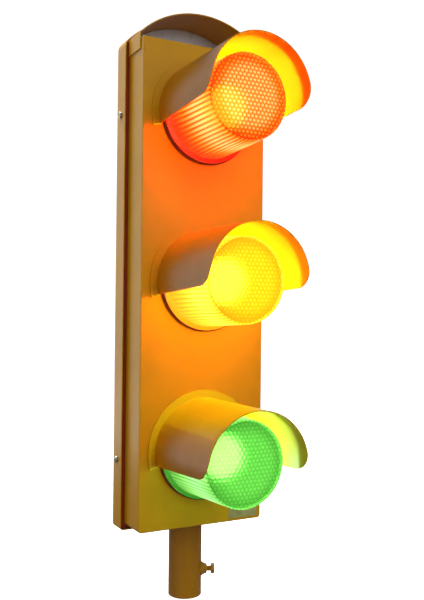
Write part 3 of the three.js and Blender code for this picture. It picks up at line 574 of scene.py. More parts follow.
def rear_cover():
    """The rear tray with a notch for the tube, four screw holes, and a shelf under the hood."""
    cover = mesh_object("rear_cover", *tray(
        lambda inset: arched_outline(COVER_SIDE, COVER_BOTTOM, COVER_ARCH_RADIUS, inset),
        COVER_REAR, COVER_FRONT))
    cut(cover, *tube_notch(COVER_BOTTOM, 0))
    for side in SIDES:
        for z in COVER_SCREW_Z:
            cut(cover, side_drill(COVER_SCREW_HOLE, side, COVER_SIDE, z))
    shelf_side = COVER_SIDE - SHEET - SHELF_GAP
    shelf = mesh_object("shelf", *block(
        -shelf_side, shelf_side, COVER_FRONT, COVER_REAR - SHEET - SHELF_GAP,
        SHELF_TOP - SHEET, SHELF_TOP))
    combined(shelf, "INTERSECT", tray_solid())
    merge(cover, shelf)
    finished(cover, "rear_cover", PAINT, edge=0.3)


def tray_solid():
    """The space inside the rear cover, used to trim the shelf."""
    points = arched_outline(COVER_SIDE, COVER_BOTTOM, COVER_ARCH_RADIUS, SHEET + SHELF_GAP / 2)
    return loft([[(x, y, z) for x, z in points] for y in (COVER_FRONT - 1, COVER_REAR)])


HOOD_NOTCH = 5.0  # past the legs on every side
PLATE_GAP = 0.3


def top_hood():
    """The arched sheet with a leg on each side; only the arch reaches back over the rear cover."""
    leg = [(HOOD_SIDE, HOOD_LEG_BOTTOM), (HOOD_SIDE, HOOD_SPRING - 8)]
    spring = math.degrees(math.acos(HOOD_SIDE / HOOD_RADIUS))
    arch = arc(0, HOOD_CENTRE, HOOD_RADIUS, spring, 180 - spring, 72)
    path = leg + arch + [(-x, z) for x, z in reversed(leg)]
    loops = []
    for i, (x, z) in enumerate(path):
        before = Vector(path[max(i - 1, 0)])
        after = Vector(path[min(i + 1, len(path) - 1)])
        along = (after - before).normalized()
        inner_x = x - along.y * SHEET
        inner_z = z + along.x * SHEET
        loops.append([
            (x, HOOD_FRONT, z), (inner_x, HOOD_FRONT, inner_z),
            (inner_x, HOOD_REAR, inner_z), (x, HOOD_REAR, z),
        ])
    hood = mesh_object("top_hood", *loft(loops))
    for side in SIDES:
        x0, x1 = sorted((side * (HOOD_SIDE - HOOD_NOTCH), side * (HOOD_SIDE + HOOD_NOTCH)))
        cut(hood, block(
            x0, x1, HOOD_LEG_REAR, HOOD_REAR + HOOD_NOTCH, HOOD_LEG_BOTTOM - HOOD_NOTCH, HOOD_SPRING - 0.5))
    finished(hood, "top_hood", PAINT, edge=0.3)


def hood_back_plate():
    """The bare plate that closes the back of the arch."""
    plate = mesh_object("hood_back_plate", *rod(
        HOOD_RADIUS - SHEET - PLATE_GAP, (0, HOOD_REAR - SHEET, HOOD_CENTRE),
        (0, HOOD_REAR - PLATE_GAP, HOOD_CENTRE), 288))
    combined(plate, "INTERSECT", block(
        -HOOD_SIDE, HOOD_SIDE, HOOD_REAR - 20, HOOD_REAR + 20, HOOD_SPRING - 1.3, HOOD_CROWN))
    finished(plate, "hood_back_plate", GALVANISED, edge=0.15)


def rounded_rectangle(low, high, radius, inset):
    """Points of a rounded rectangle in X and Z, moved inwards by inset."""
    points = []
    corners = ((high.x, low.z, -90), (high.x, high.z, 0), (low.x, high.z, 90), (low.x, low.z, 180))
    centre = (low + high) / 2
    for corner_x, corner_z, start in corners:
        centre_x = corner_x - math.copysign(radius + inset, corner_x - centre.x)
        centre_z = corner_z - math.copysign(radius + inset, corner_z - centre.z)
        points += arc(centre_x, centre_z, radius, start, start + 90, 6)
    return points


def nameplate():
    """A blank label plate with a raised rim."""
    low, high = (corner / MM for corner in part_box("nameplate"))
    front, back = low.y, high.y
    rim_width, rim_height, edge = 1.4, 0.3, 0.15
    rows = ((0.0, back), (0.0, front + edge), (edge, front), (rim_width, front),
            (rim_width + rim_height, front + rim_height))
    loops = [
        [(x, y, z) for x, z in rounded_rectangle(low, high, max(1.5 - inset, 0.3), inset)]
        for inset, y in rows
    ]
    plate = mesh_object("nameplate", *loft(loops))
    finished(plate, "nameplate", LABEL, smooth=25)


# --- screws ---
COVER_SCREW = (4.75, 3.3, 2.4)  # head radius, head height, shank radius
TUBE_SCREW = (5.5, 3.5, 3.0)
HEAD_RIM = 0.35  # share of the head's height that is its upright rim
RECESS_TURN = 25  # degrees that the cross recess is turned by


def pan_head_screw(name, sizes, direction):
    """A domed cross-recess screw, in place of the plain CAD one."""
    head_radius, head_height, shank_radius = sizes
    low, high = (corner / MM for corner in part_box(name))
    direction = Vector(direction)
    centre = (low + high) / 2
    tail, reach = sorted((low.dot(direction), high.dot(direction)))
    seat = centre + direction * (reach - head_height - centre.dot(direction))
    tail_height = tail - reach + head_height
    profile = [(0.0, tail_height), (shank_radius, tail_height), (shank_radius, 0.0), (head_radius, 0.0),
               (head_radius, HEAD_RIM * head_height)]
    steps = 8
    for step in range(1, steps):
        angle = math.radians(step * 90 / steps)
        profile.append((head_radius * math.cos(angle) ** 0.6,
                        head_height * (HEAD_RIM + (1 - HEAD_RIM) * math.sin(angle))))
    profile.append((0.0, head_height))
    screw = mesh_object(name, *turned(profile, seat, direction, 40))
    frame_turn = Vector((0, 0, 1)).rotation_difference(direction).to_matrix()
    half, arm, deep = head_radius * 0.12, head_radius * 0.55, head_height * 0.55
    for spin in (math.radians(RECESS_TURN), math.radians(RECESS_TURN + 90)):
        spin_turn = Matrix.Rotation(spin, 3, "Z")
        vertices, faces = block(-arm, arm, -half, half, head_height - deep, head_height + 1)
        points = [tuple(frame_turn @ spin_turn @ Vector(point) + seat) for point in vertices]
        cut(screw, (points, faces))
    finished(screw, name, ZINC, smooth=30)


# --- one lamp ---
VISOR_RADIUS = 73.5
VISOR_WALL = 1.2
VISOR_BASE = PANEL_FRONT - 0.3
VISOR_HOLE_SKIN = 0.1  # left over the screws, which come from behind
VISOR_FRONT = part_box("red_visor")[0].y / MM
VISOR_BASE_DROP = 18.4
VISOR_FRONT_DROP = 8.0
VISOR_CORNER = 28.0
VISOR_FLANGE_RADIUS = 84.0
VISOR_FLANGE_ANGLE = 15.5


def visor_side_outline(z0):
    """The visor's cut seen from the side: a rising lower edge with a rounded front corner."""
    slope = math.atan2(VISOR_BASE_DROP - VISOR_FRONT_DROP, VISOR_BASE - VISOR_FRONT)
    corner_y = VISOR_FRONT + VISOR_CORNER
    edge_z = z0 - VISOR_FRONT_DROP - VISOR_CORNER * math.tan(slope)
    corner_z = edge_z + VISOR_CORNER / math.cos(slope)
    top = z0 + VISOR_RADIUS + 5
    points = [(VISOR_BASE + 0.01, top), (VISOR_FRONT, top)]
    points += arc(corner_y, corner_z, VISOR_CORNER, 180, 270 - math.degrees(slope), 24)
    points.append((VISOR_BASE + 0.01, z0 - VISOR_BASE_DROP))
    return points


def visor(lamp):
    """A half tube with a cut lower edge and a flange round its base."""
    z0 = LAMP_Z[lamp]
    lowest = VISOR_FLANGE_ANGLE + 5
    piece = mesh_object(f"{lamp}_visor", *sector(
        VISOR_RADIUS - VISOR_WALL, VISOR_RADIUS, -lowest, 180 + lowest, VISOR_FRONT, VISOR_BASE, z0, 120))
    outline = visor_side_outline(z0)
    combined(piece, "INTERSECT", loft([[(x, y, z) for y, z in outline] for x in (-80, 80)]))
    combined(piece, "UNION", sector(
        VISOR_RADIUS - VISOR_WALL / 2, VISOR_FLANGE_RADIUS, -VISOR_FLANGE_ANGLE, 180 + VISOR_FLANGE_ANGLE,
        VISOR_BASE - VISOR_WALL, VISOR_BASE, z0, 96))
    hole_end = VISOR_BASE - VISOR_WALL + VISOR_HOLE_SKIN
    for side in SIDES:
        x, z = side * VISOR_SCREW_X, z0 - VISOR_SCREW_DROP
        cut(piece, rod(VISOR_SCREW_HOLE, (x, hole_end, z), (x, VISOR_BASE + 1, z), 24))
    finished(piece, f"{lamp}_visor", PAINT, edge=0.25, smooth=40)


SKIRT_RADIUS = 57.3  # the lens's plain end inside the base ring
LUG_RADIUS = 62.6
LUG_DEPTH = 1.3
LUG_CENTRES = (90, 210, 330)  # degrees from +X towards +Z
LUG_HALF_ANGLE = 12
LENS_TWIST = 35  # degrees from a locked lug to its entry slot
SLOT_HALF_ANGLE = 14
STOP_ANGLE = 4
STOP_GAP = 1
LENS_BASE = PANEL_FRONT - 4.9
RING_RADIUS = 69.5
RING_EDGE = 1.2  # rounding of the ring's front edge
RING_FRONT = PANEL_FRONT - 8.5
RING_BACK = PANEL_FRONT - 1.5
GROOVE_FRONT = RING_FRONT + 2.0
GROOVE_BACK = PANEL_FRONT - 3.5
GROOVE_RADIUS = 63.4
LIP_BORE = SKIRT_RADIUS + 0.5
SPIGOT_RADIUS = 50.0
SPIGOT_BORE = 46.5
SPIGOT_REAR = PANEL_FRONT + 8.5


def base_ring(lamp):
    """The dark bayonet ring, with three entry slots in its lip."""
    z0 = LAMP_Z[lamp]
    profile = [
        (SPIGOT_BORE, -SPIGOT_REAR), (SPIGOT_RADIUS, -SPIGOT_REAR), (SPIGOT_RADIUS, -RING_BACK),
        (RING_RADIUS, -RING_BACK)]
    profile += arc(RING_RADIUS - RING_EDGE, -RING_FRONT - RING_EDGE, RING_EDGE, 0, 90, 5)
    profile += [
        (LIP_BORE + 0.5, -RING_FRONT), (LIP_BORE, -RING_FRONT - 0.5), (LIP_BORE, -GROOVE_FRONT),
        (GROOVE_RADIUS, -GROOVE_FRONT), (GROOVE_RADIUS, -GROOVE_BACK), (SPIGOT_BORE, -GROOVE_BACK)]
    ring = mesh_object(f"{lamp}_base_ring", *turned(profile, (0, 0, z0), (0, -1, 0), 120))
    for lug in LUG_CENTRES:
        slot = lug + LENS_TWIST
        cut(ring, sector(
            LIP_BORE - 2.5, GROOVE_RADIUS, slot - SLOT_HALF_ANGLE, slot + SLOT_HALF_ANGLE,
            RING_FRONT - 1, GROOVE_FRONT + 0.1, z0, 12))
        for start in (lug - LUG_HALF_ANGLE - STOP_GAP - STOP_ANGLE, slot + LUG_HALF_ANGLE + STOP_GAP):
            stop = mesh_object("stop", *sector(
                LUG_RADIUS - 3, GROOVE_RADIUS - 0.1, start, start + STOP_ANGLE,
                LENS_BASE - 0.2, GROOVE_FRONT - 0.1, z0, 3))
            merge(ring, stop)
    # The glow of the lens reaches the panel past the ring.
    ring.visible_shadow = False
    finished(ring, f"{lamp}_base_ring", RED_LIT_DARK_PLASTIC)


LENS_RADIUS = 57.3  # at the face; the wall widens towards the base
LENS_BASE_RADIUS = 62.3
LENS_RIM = PANEL_FRONT - 119.6
LENS_CROWN = 4.0
LENS_WALL = 3.0
LENS_EDGE = 1.6  # rounding between the wall and the face
LENS_FACE_RADIUS = LENS_RADIUS - LENS_EDGE
RELIEF_EDGE = LENS_FACE_RADIUS - 0.8  # the domes end here
LENS_FLANGE_RADIUS = 67.8
LENS_FLANGE_BACK = RING_FRONT - 0.3
LENS_FLANGE_FRONT = PANEL_FRONT - 11.5
LENS_FLANGE_EDGE = 0.8
FLUTES = 60
FLUTE_STEPS = 6
FLUTE_DEPTH = 1.2
FLUTE_START = LENS_FLANGE_FRONT - 3.5
DIMPLE_PITCH = 6.0
DIMPLE_HEIGHT = 1.2
GLOW_Y = -132.0  # where the lens is brightest, round the front of the bulb
FACE_GLOW = {"red": 0.85, "amber": 0.5, "green": 0.37}  # less than the wall, whose share is 1
PLAIN_RELIEF = 0.3


def dimple(x, z):
    """Height, 0 to 1, of the hexagonally packed domes on a lens's face."""
    row_height = DIMPLE_PITCH * math.sqrt(3) / 2
    nearest = DIMPLE_PITCH
    for row in (math.floor(z / row_height), math.floor(z / row_height) + 1):
        shift = DIMPLE_PITCH / 2 if row % 2 else 0.0
        column = round((x - shift) / DIMPLE_PITCH)
        nearest = min(nearest, math.hypot(x - shift - column * DIMPLE_PITCH, z - row * row_height))
    reach = DIMPLE_PITCH / math.sqrt(3)
    return max(0.0, 1 - (nearest / reach) ** 2)


def flute(angle):
    """Height, 0 to 1, of the lens wall's flutes."""
    return abs(math.sin(angle * FLUTES / 2))


def lens_wall_radius(y):
    """Outside radius of the tapered wall."""
    share = (y - LENS_RIM) / (LENS_FLANGE_FRONT - LENS_RIM)
    return LENS_RADIUS + share * (LENS_BASE_RADIUS - LENS_RADIUS)


def lens(lamp):
    """The fluted cup: skirt with lugs, plain flange, fluted wall, and a dimpled, slightly domed face."""
    z0 = LAMP_Z[lamp]
    segments = FLUTES * FLUTE_STEPS
    angles = [2 * math.pi * i / segments for i in range(segments)]

    def plain(radius, y):
        return [(radius * math.cos(a), y, z0 + radius * math.sin(a)) for a in angles]

    def rounding(centre_radius, front, edge, steps):
        return [plain(r, -h) for r, h in arc(centre_radius, -front - edge, edge, 0, 90, steps)]

    def fluted(y, share=1.0):
        radii = [lens_wall_radius(y) - share * FLUTE_DEPTH * (1 - flute(a)) for a in angles]
        return [(r * math.cos(a), y, z0 + r * math.sin(a)) for r, a in zip(radii, angles)]

    def domed(radius, y, relief):
        rise = LENS_CROWN * ((radius / LENS_FACE_RADIUS) ** 2 - 1)
        ring = []
        for a in angles:
            x = radius * math.cos(a)
            z = radius * math.sin(a)
            fade = max(0.0, min(1.0, (RELIEF_EDGE - radius) / 1.5))
            ring.append((x, y + rise - relief * fade * dimple(x, z), z0 + z))
        return ring

    outer = [
        plain(SKIRT_RADIUS - LENS_WALL, LENS_BASE), plain(SKIRT_RADIUS, LENS_BASE),
        plain(SKIRT_RADIUS, LENS_FLANGE_BACK), plain(LENS_FLANGE_RADIUS, LENS_FLANGE_BACK),
    ]
    outer += rounding(LENS_FLANGE_RADIUS - LENS_FLANGE_EDGE, LENS_FLANGE_FRONT, LENS_FLANGE_EDGE, 4)
    outer += [
        plain(LENS_BASE_RADIUS + 1.0, LENS_FLANGE_FRONT), plain(LENS_BASE_RADIUS, LENS_FLANGE_FRONT - 0.6),
        plain(lens_wall_radius(FLUTE_START), FLUTE_START), fluted(FLUTE_START - 0.5, 0.8)]
    flute_end = LENS_RIM + LENS_EDGE + 0.6
    rows = 12
    outer += [
        fluted(FLUTE_START - 1 + (flute_end - FLUTE_START + 1) * row / rows) for row in range(rows + 1)]
    outer += rounding(LENS_FACE_RADIUS, LENS_RIM, LENS_EDGE, 5)
    rings = 72
    outer += [domed(LENS_FACE_RADIUS * (1 - k / rings), LENS_RIM, DIMPLE_HEIGHT) for k in range(1, rings)]
    inside = LENS_RADIUS - LENS_WALL
    inner = [domed(LENS_FACE_RADIUS * share, LENS_RIM + LENS_WALL, 0) for share in (0.02, 0.3, 0.6, 0.85)]
    inner += [
        plain(inside - 1.5, LENS_RIM + LENS_WALL), plain(inside, LENS_RIM + LENS_WALL + 2),
        plain(LENS_BASE_RADIUS - LENS_WALL, LENS_FLANGE_FRONT - LENS_WALL),
        plain(SKIRT_RADIUS - LENS_WALL, LENS_FLANGE_BACK), outer[0]]
    outer_skin = with_tip(outer, (0, LENS_RIM - LENS_CROWN - DIMPLE_HEIGHT, z0), len(outer) - 1)
    inner_skin = with_tip(inner, (0, LENS_RIM + LENS_WALL - LENS_CROWN, z0), 0)
    lugs = [
        sector(SKIRT_RADIUS - 1, LUG_RADIUS, lug - LUG_HALF_ANGLE, lug + LUG_HALF_ANGLE,
               LENS_BASE - LUG_DEPTH, LENS_BASE, z0, 8)
        for lug in LUG_CENTRES
    ]
    cup = mesh_object(f"{lamp}_lens", *joined(outer_skin, inner_skin, *lugs))
    cup.visible_shadow = False
    finished(cup, f"{lamp}_lens", LENS[lamp], f"{lamp}_lens_body", smooth=50)
    write_relief(cup, z0, FACE_GLOW[lamp])


def with_tip(loops, tip, row):
    """A skin over loops, closed at one row by a fan to a point."""
    vertices, faces = loft(loops, capped=False)
    count = len(loops[0])
    start = row * count
    fan = [(start + i, start + (i + 1) % count, len(vertices)) for i in range(count)]
    return vertices + [tip], faces + fan


def write_relief(cup, z0, face_glow):
    """Stores how each point of the lens glows: its height in its dome or flute, and how near the bulb."""
    relief = cup.data.attributes.new("relief", "FLOAT", "POINT")
    near = cup.data.attributes.new("near_bulb", "FLOAT", "POINT")
    for index, point in enumerate(cup.data.vertices):
        x, y, z = point.co / MM
        radius = math.hypot(x, z - z0)
        depth = lens_wall_radius(y) - radius
        height, share = PLAIN_RELIEF, 1.0
        if y < LENS_RIM + 0.5 * LENS_EDGE and radius < RELIEF_EDGE:
            height, share = dimple(x, z - z0), face_glow
        elif y < FLUTE_START and depth < FLUTE_DEPTH + 0.5:
            height = flute(math.atan2(z - z0, x))
        elif y < LENS_FLANGE_FRONT - 1 and depth > FLUTE_DEPTH + 0.5:
            share = 0.0  # the inside of the cup
        distance = math.dist((x, y, z - z0), (0, GLOW_Y, 0))
        relief.data[index].value = height
        near.data[index].value = share * (LENS_RADIUS / max(distance, LENS_RADIUS)) ** 4


BULB_RADIUS = 30.0
BULB_GLASS = 1.0
BULB_NECK = ((14.5, 50.3), (15.2, 56.0), (16.0, 66.0), (18.5, 76.0))  # (radius, distance forwards)
BULB_NECK_ANGLE = -40  # where the globe starts, degrees below its middle


def bulb_skin(inset):
    """The neck and globe as (radius, distance) points, moved inwards by inset."""
    globe = arc(0, -BULB_Y, BULB_RADIUS - inset, BULB_NECK_ANGLE, 90, 12)[:-1]
    neck = [(radius - inset, distance) for radius, distance in BULB_NECK]
    return neck + globe + [(0.0, -BULB_Y + BULB_RADIUS - inset)]


def bulb(lamp):
    """The glass envelope of the lit bulb."""
    z0 = LAMP_Z[lamp]
    profile = bulb_skin(0.0) + bulb_skin(BULB_GLASS)[::-1]
    globe = mesh_object(f"{lamp}_bulb_globe", *turned(profile, (0, 0, z0), (0, -1, 0), 48))
    globe.visible_shadow = False
    globe.visible_diffuse = False
    globe.visible_glossy = False
    finished(globe, f"{lamp}_bulb_globe", BULB, smooth=60)


# Colour and watts of a lamp's light on the panel, in its own visor, and leaving by its face.
LAMP_LIGHT = {
    "red": {
        "panel": ((1.0, 0.07, 0.0), 0.85), "visor": ((0.6, 1.0, 0.01), 1.05),
        "face": ((1.0, 0.12, 0.0), 0.08)},
    "amber": {
        "panel": ((1.0, 0.4, 0.0), 0.85), "visor": ((0.5, 1.0, 0.01), 0.75),
        "face": ((1.0, 0.4, 0.0), 0.08)},
    "green": {
        "panel": ((0.7, 1.0, 0.08), 0.12), "visor": ((0.4, 1.0, 0.7), 1.25),
        "face": ((0.45, 1.0, 0.05), 0.04)},
}
# The visors that a lamp's visor light reaches.
NEAR_VISORS = {"red": ("red",), "amber": ("amber", "green"), "green": ("green",)}
# The visor below a lamp, and the glow of the lens's wall that falls on it.
BELOW = {"red": ("amber", (0.6, 0.5, 0.0), 1.1), "amber": ("green", (0.5, 1.0, 0.0), 2.6)}
BULB_GLOW_RADIUS = 12.0
FACE_LIGHT_GAP = 6.0


def point_light(name, colour, watts, radius, y, lamp):
    """A round light on a lamp's axis."""
    data = bpy.data.lights.new(name, "POINT")
    data.color = colour
    data.energy = watts
    data.shadow_soft_size = radius * MM
    return place_light(data, (0, y * MM, LAMP_Z[lamp] * MM))


def lamp_light(lamp):
    """The light that a bulb throws through its lens onto the visors and panel."""
    near_visors = [bpy.data.objects[f"look_{near}_visor"] for near in NEAR_VISORS[lamp]]
    for name, state in (("panel", "EXCLUDE"), ("visor", "INCLUDE")):
        colour, watts = LAMP_LIGHT[lamp][name]
        light = point_light(f"{lamp}_{name}_light", colour, watts, BULB_GLOW_RADIUS, BULB_Y, lamp)
        lit_objects(light, near_visors, state)
    face_light = bpy.data.lights.new(f"{lamp}_face_light", "AREA")
    face_light.shape = "DISK"
    face_light.size = 2 * LENS_RADIUS * MM
    face_light.color, face_light.energy = LAMP_LIGHT[lamp]["face"]
    light = place_light(face_light, (0, (LENS_RIM - FACE_LIGHT_GAP) * MM, LAMP_Z[lamp] * MM))
    light.rotation_euler = (math.pi / 2, 0, 0)
    add_face_shade(lamp)
    if lamp in BELOW:
        below, colour, watts = BELOW[lamp]
        light = point_light(f"{lamp}_below_light", colour, watts, LENS_RADIUS, GLOW_Y, lamp)
        lit_objects(light, [bpy.data.objects[f"look_{below}_visor"]], "INCLUDE")


def lit_objects(light, objects, state):
    """Limits a light to these objects (INCLUDE) or to all others (EXCLUDE)."""
    receivers = bpy.data.collections.new(light.name + "_receivers")
    for obj in objects:
        receivers.objects.link(obj)
    for entry in receivers.collection_objects:
        entry.light_linking.link_state = state
    light.light_linking.receiver_collection = receivers


def place_light(data, place):
    """Puts a light in the scene, unseen by the camera."""
    light = placed(data.name, data)
    light.location = place
    light.visible_camera = False
    return light


def add_face_shade(lamp):
    """A disc that only shadows see: the bulb's own light leaves by the wall, the face has its own light."""
    points = [(x, LENS_RIM + LENS_WALL / 2, LAMP_Z[lamp] + z) for x, z in circle(LENS_RADIUS, 96)]
    shade_disc = mesh_object(f"{lamp}_face_shade", points, [tuple(range(96))])
    shade_disc.data.materials.append(RED_LIT_DARK_PLASTIC)
    for kind in ("camera", "diffuse", "glossy", "transmission", "volume_scatter"):
        setattr(shade_disc, f"visible_{kind}", False)


# --- pole socket ---
TUBE_CAP = 4.0
TUBE_CHAMFER = 0.6
CABLE_HOLE = 9.0
FLANGE_SIDE = 46.0
FLANGE_REAR = 2.0
FLANGE_BOTTOM = BOX_BOTTOM + 1.8
FLANGE_THICKNESS = 3.0
TUBE_SCREW_PLACE = 36.0
TUBE_SCREW_HOLE = 3.4
BOLT_HOLE = 4.35
NUT_HEIGHT = 8.0
ACROSS_FLATS = 13.0  # of the nut and the bolt's head


def clamp_point(distance):
    """A point on the clamp bolt's axis, this far from the tube's axis."""
    return Vector((distance * math.cos(CLAMP_ANGLE), distance * math.sin(CLAMP_ANGLE), CLAMP_Z))


def socket_tube():
    """The tube with its end cap and cable hole, and the flange inside the box that it hangs by."""
    inner_top = TUBE_TOP - TUBE_CAP
    bevel_radius = TUBE_RADIUS - TUBE_CHAMFER
    profile = [
        (TUBE_BORE, 0.5), (TUBE_BORE + 0.4, 0.0), (bevel_radius, 0.0), (TUBE_RADIUS, TUBE_CHAMFER),
        (TUBE_RADIUS, TUBE_TOP - TUBE_CHAMFER), (bevel_radius, TUBE_TOP), (CABLE_HOLE, TUBE_TOP),
        (CABLE_HOLE, inner_top), (TUBE_BORE, inner_top)]
    tube = mesh_object("socket_tube", *turned(profile, (0, 0, 0), (0, 0, 1), 96))
    flange = mesh_object("flange", *block(
        -FLANGE_SIDE, FLANGE_SIDE, -FLANGE_SIDE, FLANGE_REAR,
        FLANGE_BOTTOM, FLANGE_BOTTOM + FLANGE_THICKNESS))
    cutters = [rod(TUBE_RADIUS - 0.1, (0, 0, 100), (0, 0, 130), 96)]
    for side in SIDES:
        x, y = side * TUBE_SCREW_PLACE, -TUBE_SCREW_PLACE
        cutters.append(rod(TUBE_SCREW_HOLE, (x, y, 100), (x, y, 130)))
    cut(flange, *cutters)
    cut(tube, rod(BOLT_HOLE, clamp_point(10), clamp_point(30)))
    merge(tube, flange)
    finished(tube, "socket_tube", TUBE_PAINT, smooth=30)


def clamp_nut():
    """The welded nut: a six-sided body rising out of a smooth weld fillet."""
    profile = [
        (BOLT_HOLE, -4.0), (10.6, -4.0), (10.4, 0.3), (9.4, 1.5), (8.4, 3.0), (7.6, 5.0), (6.6, NUT_HEIGHT),
        (BOLT_HOLE, NUT_HEIGHT)]
    nut = mesh_object("clamp_nut", *turned(profile, clamp_point(TUBE_RADIUS), CLAMP_DIRECTION, 48))
    cut(nut, rod(TUBE_RADIUS + 0.25, (0, 0, 0), (0, 0, 2 * CLAMP_Z), 96))
    hexagon = hexagonal_bar(clamp_point(TUBE_RADIUS + 4.4), clamp_point(TUBE_RADIUS + 12))
    lower = rod(12, clamp_point(TUBE_RADIUS - 6), clamp_point(TUBE_RADIUS + 4.6), 48)
    envelope = mesh_object("envelope", *hexagon)
    combined(envelope, "UNION", lower)
    changed(nut, "BOOLEAN", operation="INTERSECT", object=envelope, solver="EXACT")
    bpy.data.objects.remove(envelope)
    finished(nut, "clamp_nut", TUBE_PAINT, edge=0.35, smooth=30)


def hexagonal_bar(start, end):
    """A hexagonal bar with a flat on top, as wide as the nut and the bolt's head."""
    sideways = (end - start).cross(Vector((0, 0, 1))).normalized()
    corners = circle(ACROSS_FLATS / math.sqrt(3), 6)
    return loft([
        [tuple(place + sideways * x + Vector((0, 0, z))) for x, z in corners]
        for place in (start, end)
    ])


THREAD_RADIUS = 4.0
THREAD_DEPTH = 0.62
THREAD_PITCH = 1.25
BOLT_TIP = TUBE_BORE + 2.9
BOLT_SEAT = TUBE_RADIUS + 14
HEAD_OVERLAP = 0.6  # of the shank into the head
HEAD_HEIGHT = 5.3


def threaded_shank():
    """The shank's skin, from its tip into the head, with a rolled thread."""
    rows_per_turn, segments = 8, 32
    turn = Vector((0, 0, 1)).rotation_difference(CLAMP_DIRECTION).to_matrix()
    length = BOLT_SEAT - BOLT_TIP + HEAD_OVERLAP
    rows = int(length / THREAD_PITCH * rows_per_turn)
    loops = []
    for row in range(rows + 1):
        height = BOLT_TIP + length * row / rows
        loop = []
        for i, (x, y) in enumerate(circle(1, segments)):
            phase = (height / THREAD_PITCH - i / segments) % 1.0
            radius = THREAD_RADIUS - THREAD_DEPTH * (1 - abs(2 * phase - 1))
            loop.append(tuple(turn @ Vector((radius * x, radius * y, 0)) + clamp_point(height)))
        loops.append(loop)
    return loft(loops)


def clamp_bolt():
    """The bolt: a threaded shank and a hexagon head with rounded corners and a washer face."""
    bolt = mesh_object("clamp_bolt", *threaded_shank())
    seat = clamp_point(BOLT_SEAT)
    head = mesh_object("head", *hexagonal_bar(seat, clamp_point(BOLT_SEAT + HEAD_HEIGHT)))
    combined(head, "INTERSECT", turned(
        [(0.0, -0.5), (7.0, -0.5), (7.55, 0.3), (7.55, 4.2), (6.2, 5.35), (0.0, 5.35)],
        seat, CLAMP_DIRECTION, 64))
    merge(bolt, head)
    finished(bolt, "clamp_bolt", TUBE_PAINT, "clamp_bolt_body", smooth=30)


# --- stage and light ---
AMBIENT = 0.16  # how strongly the white surroundings light the object
CARD_HALF_WIDTH = 9.0  # metres, as all sizes of the stage
CARD_DROP = 0.0005  # keeps the floor just under the tube's end
FLOOR_FRONT = -6.0
FLOOR_REAR = 1.0
BACKDROP_REAR = 4.0  # where the backdrop starts to rise
BACKDROP_BEND = 1.5
BACKDROP_TOP = 6.0


def white_card_material(name):
    """Matt white paper with a glow of its own, as if lit from behind."""
    shader = Shader(name)
    paper = shader.noise(2)
    shader.colour(shader.ramp(paper, [(0.3, (0.88, 0.88, 0.88)), (0.7, (0.92, 0.92, 0.92))]))
    shader.link(
        shader.ramp(paper, [(0.3, (0.99, 0.99, 0.99)), (0.7, (1.0, 1.0, 1.0))]),
        shader.bsdf.inputs["Emission Color"])
    shader.set(Roughness=0.9, Emission_Strength=1.0)
    return shader.material


def add_card(name, profile):
    """A wide white card along a side profile of (y, z) points."""
    vertices = [(side * CARD_HALF_WIDTH, y, z - CARD_DROP) for side in SIDES for y, z in profile]
    count = len(profile)
    faces = [(i, i + 1, count + i + 1, count + i) for i in range(count - 1)]
    mesh = bpy.data.meshes.new(name)
    mesh.from_pydata(vertices, [], faces)
    mesh.shade_smooth()
    card = placed(name, mesh)
    mesh.materials.append(white_card_material(name))
    card.visible_diffuse = False
    return card


def add_stage():
    """A white floor, and a white backdrop that rises far behind it and shows in the paint's sheen."""
    floor = add_card("floor", [(FLOOR_FRONT, 0.0), (FLOOR_REAR, 0.0)])
    floor.visible_glossy = False
    rise = arc(BACKDROP_REAR, BACKDROP_BEND, BACKDROP_BEND, -90, 0, 12)
    add_card("backdrop", [(FLOOR_REAR, 0.0), *rise, (BACKDROP_REAR + BACKDROP_BEND, BACKDROP_TOP)])


def add_area_light(name, place, target, size, watts, colour=(1, 1, 1)):
    """A square soft light aimed at a point."""
    data = bpy.data.lights.new(name, "AREA")
    data.size = size
    data.energy = watts
    data.color = colour
    light = place_light(data, place)
    aim = Vector(target) - Vector(place)
    light.rotation_euler = aim.to_track_quat("-Z", "Y").to_euler()
    return light


def add_lights():
    """The studio's lights; the visors get a warmer light from the left than the rest."""
    housing_middle = (0, 0, 0.45)
    left = (-2.4, -0.6, 0.7)
    visors = [bpy.data.objects[f"look_{lamp}_visor"] for lamp in LAMPS]
    key = add_area_light("key", (0.2, -2.6, 1.4), housing_middle, 1.6, 31)
    key.visible_glossy = False
    left_fill = add_area_light("left_fill", left, housing_middle, 1.4, 9.5)
    lit_objects(left_fill, visors, "EXCLUDE")
    warm_fill = add_area_light("warm_fill", left, housing_middle, 1.4, 8, (1.0, 0.3, 0.14))
    lit_objects(warm_fill, visors, "INCLUDE")
    top_fill = add_area_light("top_fill", (-0.5, 0.9, 2.6), (0, 0, 0.8), 1.2, 72)
    lit_objects(top_fill, visors, "EXCLUDE")


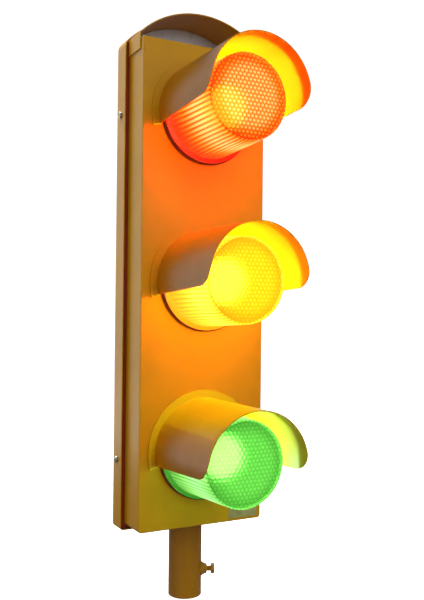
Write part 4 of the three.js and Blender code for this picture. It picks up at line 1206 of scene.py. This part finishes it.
def add_world():
    """A soft studio: white where the camera sees it, greyer where it lights the object."""
    world = bpy.data.worlds.new("studio")
    world.use_nodes = True
    tree = world.node_tree
    background = tree.nodes["Background"]
    background.inputs["Color"].default_value = (1, 1, 1, 1)
    strength = tree.nodes.new("ShaderNodeMapRange")
    strength.inputs["To Min"].default_value = AMBIENT
    strength.inputs["To Max"].default_value = 1.0
    rays = tree.nodes.new("ShaderNodeLightPath")
    tree.links.new(rays.outputs["Is Camera Ray"], strength.inputs["Value"])
    tree.links.new(strength.outputs["Result"], background.inputs["Strength"])
    bpy.context.scene.world = world
    bpy.context.scene.view_settings.view_transform = "Standard"


# --- carried-over CAD nodes ---
def dress(name, material):
    """Gives its material to a CAD node that stays as it is."""
    obj = nodes[name]
    obj.data.materials.clear()
    obj.data.materials.append(material)


add_camera()
front_cover()
rear_cover()
top_hood()
hood_back_plate()
nameplate()
for side, direction in (("left", (-1, 0, 0)), ("right", (1, 0, 0))):
    for height in ("lower", "upper"):
        pan_head_screw(f"cover_screw_{side}_{height}", COVER_SCREW, direction)
    pan_head_screw(f"tube_screw_{side}", TUBE_SCREW, (0, 0, -1))
for lamp in LAMPS:
    visor(lamp)
    base_ring(lamp)
    lens(lamp)
    bulb(lamp)
    for side in ("left", "right"):
        dress(f"{lamp}_visor_screw_{side}", ZINC)
    dress(f"{lamp}_panel_gasket", RED_LIT_SEAL_RUBBER)
    dress(f"{lamp}_lens_seal", RED_LIT_SEAL_RUBBER)
    dress(f"{lamp}_lock_ring", RED_LIT_DARK_PLASTIC)
    dress(f"{lamp}_lampholder", CERAMIC)
    dress(f"{lamp}_bulb_cap", BRASS)
    dress(f"{lamp}_lead", WIRE[lamp])
socket_tube()
clamp_nut()
clamp_bolt()
for name, material in (
    ("clamp_pad", BRASS), ("cover_seal", RED_LIT_SEAL_RUBBER), ("cable_grommet", RED_LIT_SEAL_RUBBER),
    ("mounting_rail", GALVANISED), ("terminal_block", RED_LIT_DARK_PLASTIC), ("earth_stud", BRASS),
    ("earth_nut", BRASS),
):
    dress(name, material)

add_stage()
add_world()
for lamp in LAMPS:
    lamp_light(lamp)
add_lights()
